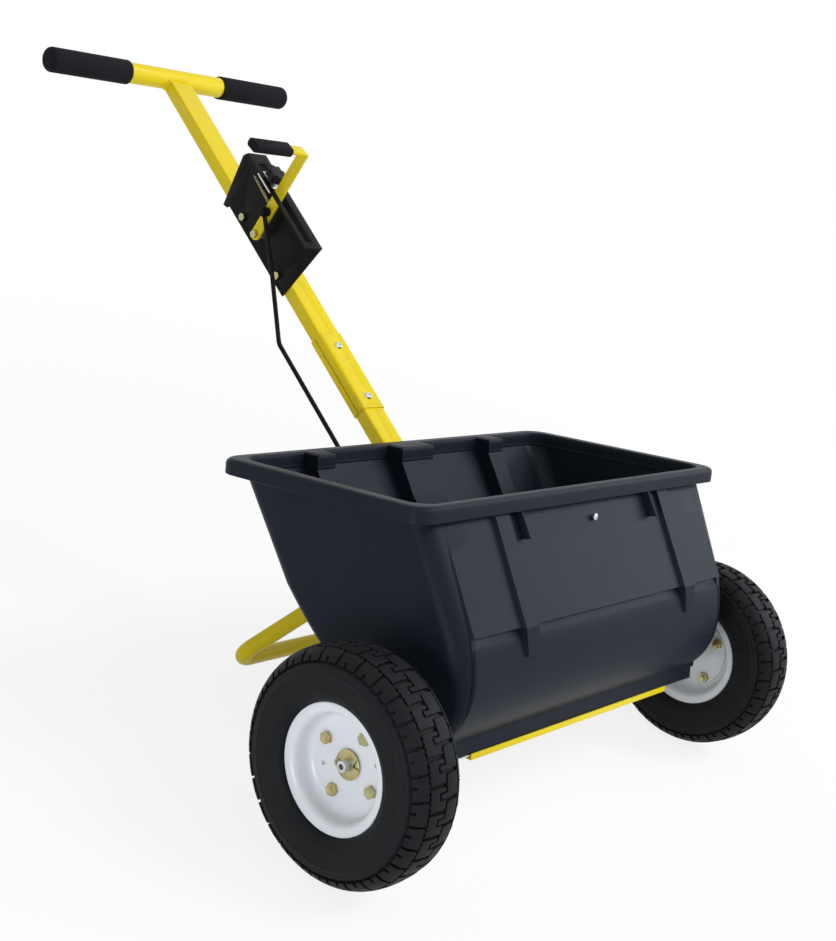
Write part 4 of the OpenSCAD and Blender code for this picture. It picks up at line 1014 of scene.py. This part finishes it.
# how far each finish's edges are eased, in mm
easing = {"yellow_paint": 0.7, "black_paint": 0.5, "bright_zinc": 0.4, "yellow_zinc": 0.45,
          "white_paint": 0.4, "grip_foam": 4.5, "knob_plastic": 1.2, "bush_nylon": 0.4}
for node in nodes:
    if node not in dressed:
        softened(node, easing[slotOf[node]] * mm)
print("packed nodes eased:", len(nodes) - len(dressed))


studio = {
    "floorSize": 40, "floorColour": (0.93, 0.93, 0.93), "near": 0.84, "fade": (0.7, 2.6), "sky": 0.36,
    "camera": (-1821.2, -1206.7, 887.7), "yaw": 0.8755, "pitch": -0.1741, "roll": 0.0950, "lens": 55.29,
    "sun": {"from": (0.42, -0.5, 0.76), "power": 1.25, "angle": 20},
    # where from, size, power and colour
    "lamps": {"frontLamp": ((2.5, -1.75, 1.8), 2.0, 42, (0.8, 0.9, 1.0)),
              "sideLamp": ((-1.75, -0.95, 0.3), 0.5, 6.5, (0.9, 0.95, 1.0)),
              "highLamp": ((-0.3, -1.6, 3.4), 2.4, 20, (1.0, 1.0, 1.0))},
    "aim": (0, 0, 0.4),
}


def seenOnly(tree):  # 1 for what the camera, a mirror or glass sees, 0 for the light itself
    path = tree.nodes.new("ShaderNodeLightPath")
    seen = Field(tree, path.outputs["Is Camera Ray"]) + Field(tree, path.outputs["Is Transmission Ray"])
    return seen.maths("MINIMUM", seen + Field(tree, path.outputs["Is Glossy Ray"]), 1.0)


def makeFloor():
    toObject()
    bpy.ops.object.select_all(action="DESELECT")
    bpy.ops.mesh.primitive_plane_add(size=studio["floorSize"], location=(0, 0, -0.0005))
    floor = bpy.context.object
    floor.name = "studioFloor"
    paint = Finish("studioFloor", Roughness=0.9, Specular_IOR_Level=0.0)
    paint.shader.inputs["Base Color"].default_value = (*studio["floorColour"], 1)
    away = paint.node("VectorMath", {"operation": "LENGTH"}, {0: paint.place}, output=1)
    near, fade = studio["near"], studio["fade"]
    far = away.above(sum(fade) / 2, (fade[1] - fade[0]) / 2)
    factor = seenOnly(paint.tree) * (near + (1 - near) * far)
    white = paint.node("Emission", inputs={"Color": (1, 1, 1, 1), "Strength": 1.0})
    mix = paint.node("MixShader", inputs={0: factor, 1: Field(paint.tree, paint.shader.outputs[0]), 2: white})
    paint.tree.links.new(mix.socket, paint.tree.nodes["Material Output"].inputs["Surface"])
    floor.data.materials.append(paint.material)


def makeSky():
    world = bpy.data.worlds.new("studioSky")
    bpy.context.scene.world = world
    world.use_nodes = True
    tree = world.node_tree
    background = tree.nodes["Background"]
    plain = seenOnly(tree)
    strength = plain + (1 - plain) * studio["sky"]
    tree.links.new(strength.socket, background.inputs["Strength"])
    background.inputs["Color"].default_value = (1, 1, 1, 1)


def placeLamp(name, lamp, spot, aim):
    holder = bpy.data.objects.new(name, lamp)
    bpy.context.scene.collection.objects.link(holder)
    holder.location = spot
    holder.rotation_euler = (Vector(aim) - Vector(spot)).to_track_quat("-Z", "Y").to_euler()


def makeLamps():
    sun = bpy.data.lights.new("sunLamp", "SUN")
    sun.energy = studio["sun"]["power"]
    sun.angle = math.radians(studio["sun"]["angle"])
    placeLamp("sunLamp", sun, Vector(studio["sun"]["from"]) * 4, (0, 0, 0))
    for name, (spot, size, power, colour) in studio["lamps"].items():
        lamp = bpy.data.lights.new(name, "AREA")
        lamp.size = size
        lamp.energy = power
        lamp.color = colour
        placeLamp(name, lamp, spot, studio["aim"])


def makeCamera():
    yaw, pitch, roll = studio["yaw"], studio["pitch"], studio["roll"]
    ahead = Vector((math.cos(pitch) * math.sin(yaw), math.cos(pitch) * math.cos(yaw), math.sin(pitch)))
    right = ahead.cross(Vector((0, 0, 1))).normalized()
    up = right.cross(ahead)
    tiltedRight = right * math.cos(roll) + up * math.sin(roll)
    tiltedUp = up * math.cos(roll) - right * math.sin(roll)
    lens = bpy.data.cameras.new("studioCamera")
    lens.lens = studio["lens"]
    lens.sensor_width = 36
    lens.clip_end = 100
    camera = bpy.data.objects.new("studioCamera", lens)
    bpy.context.scene.collection.objects.link(camera)
    spot = Vector(studio["camera"]) * mm
    camera.matrix_world = levelFrame @ axes(spot, tiltedRight, tiltedUp, -ahead)
    bpy.context.scene.camera = camera


makeFloor()
makeSky()
makeLamps()
makeCamera()
bpy.context.scene.view_settings.view_transform = "Standard"
print("studio ready")

toObject()
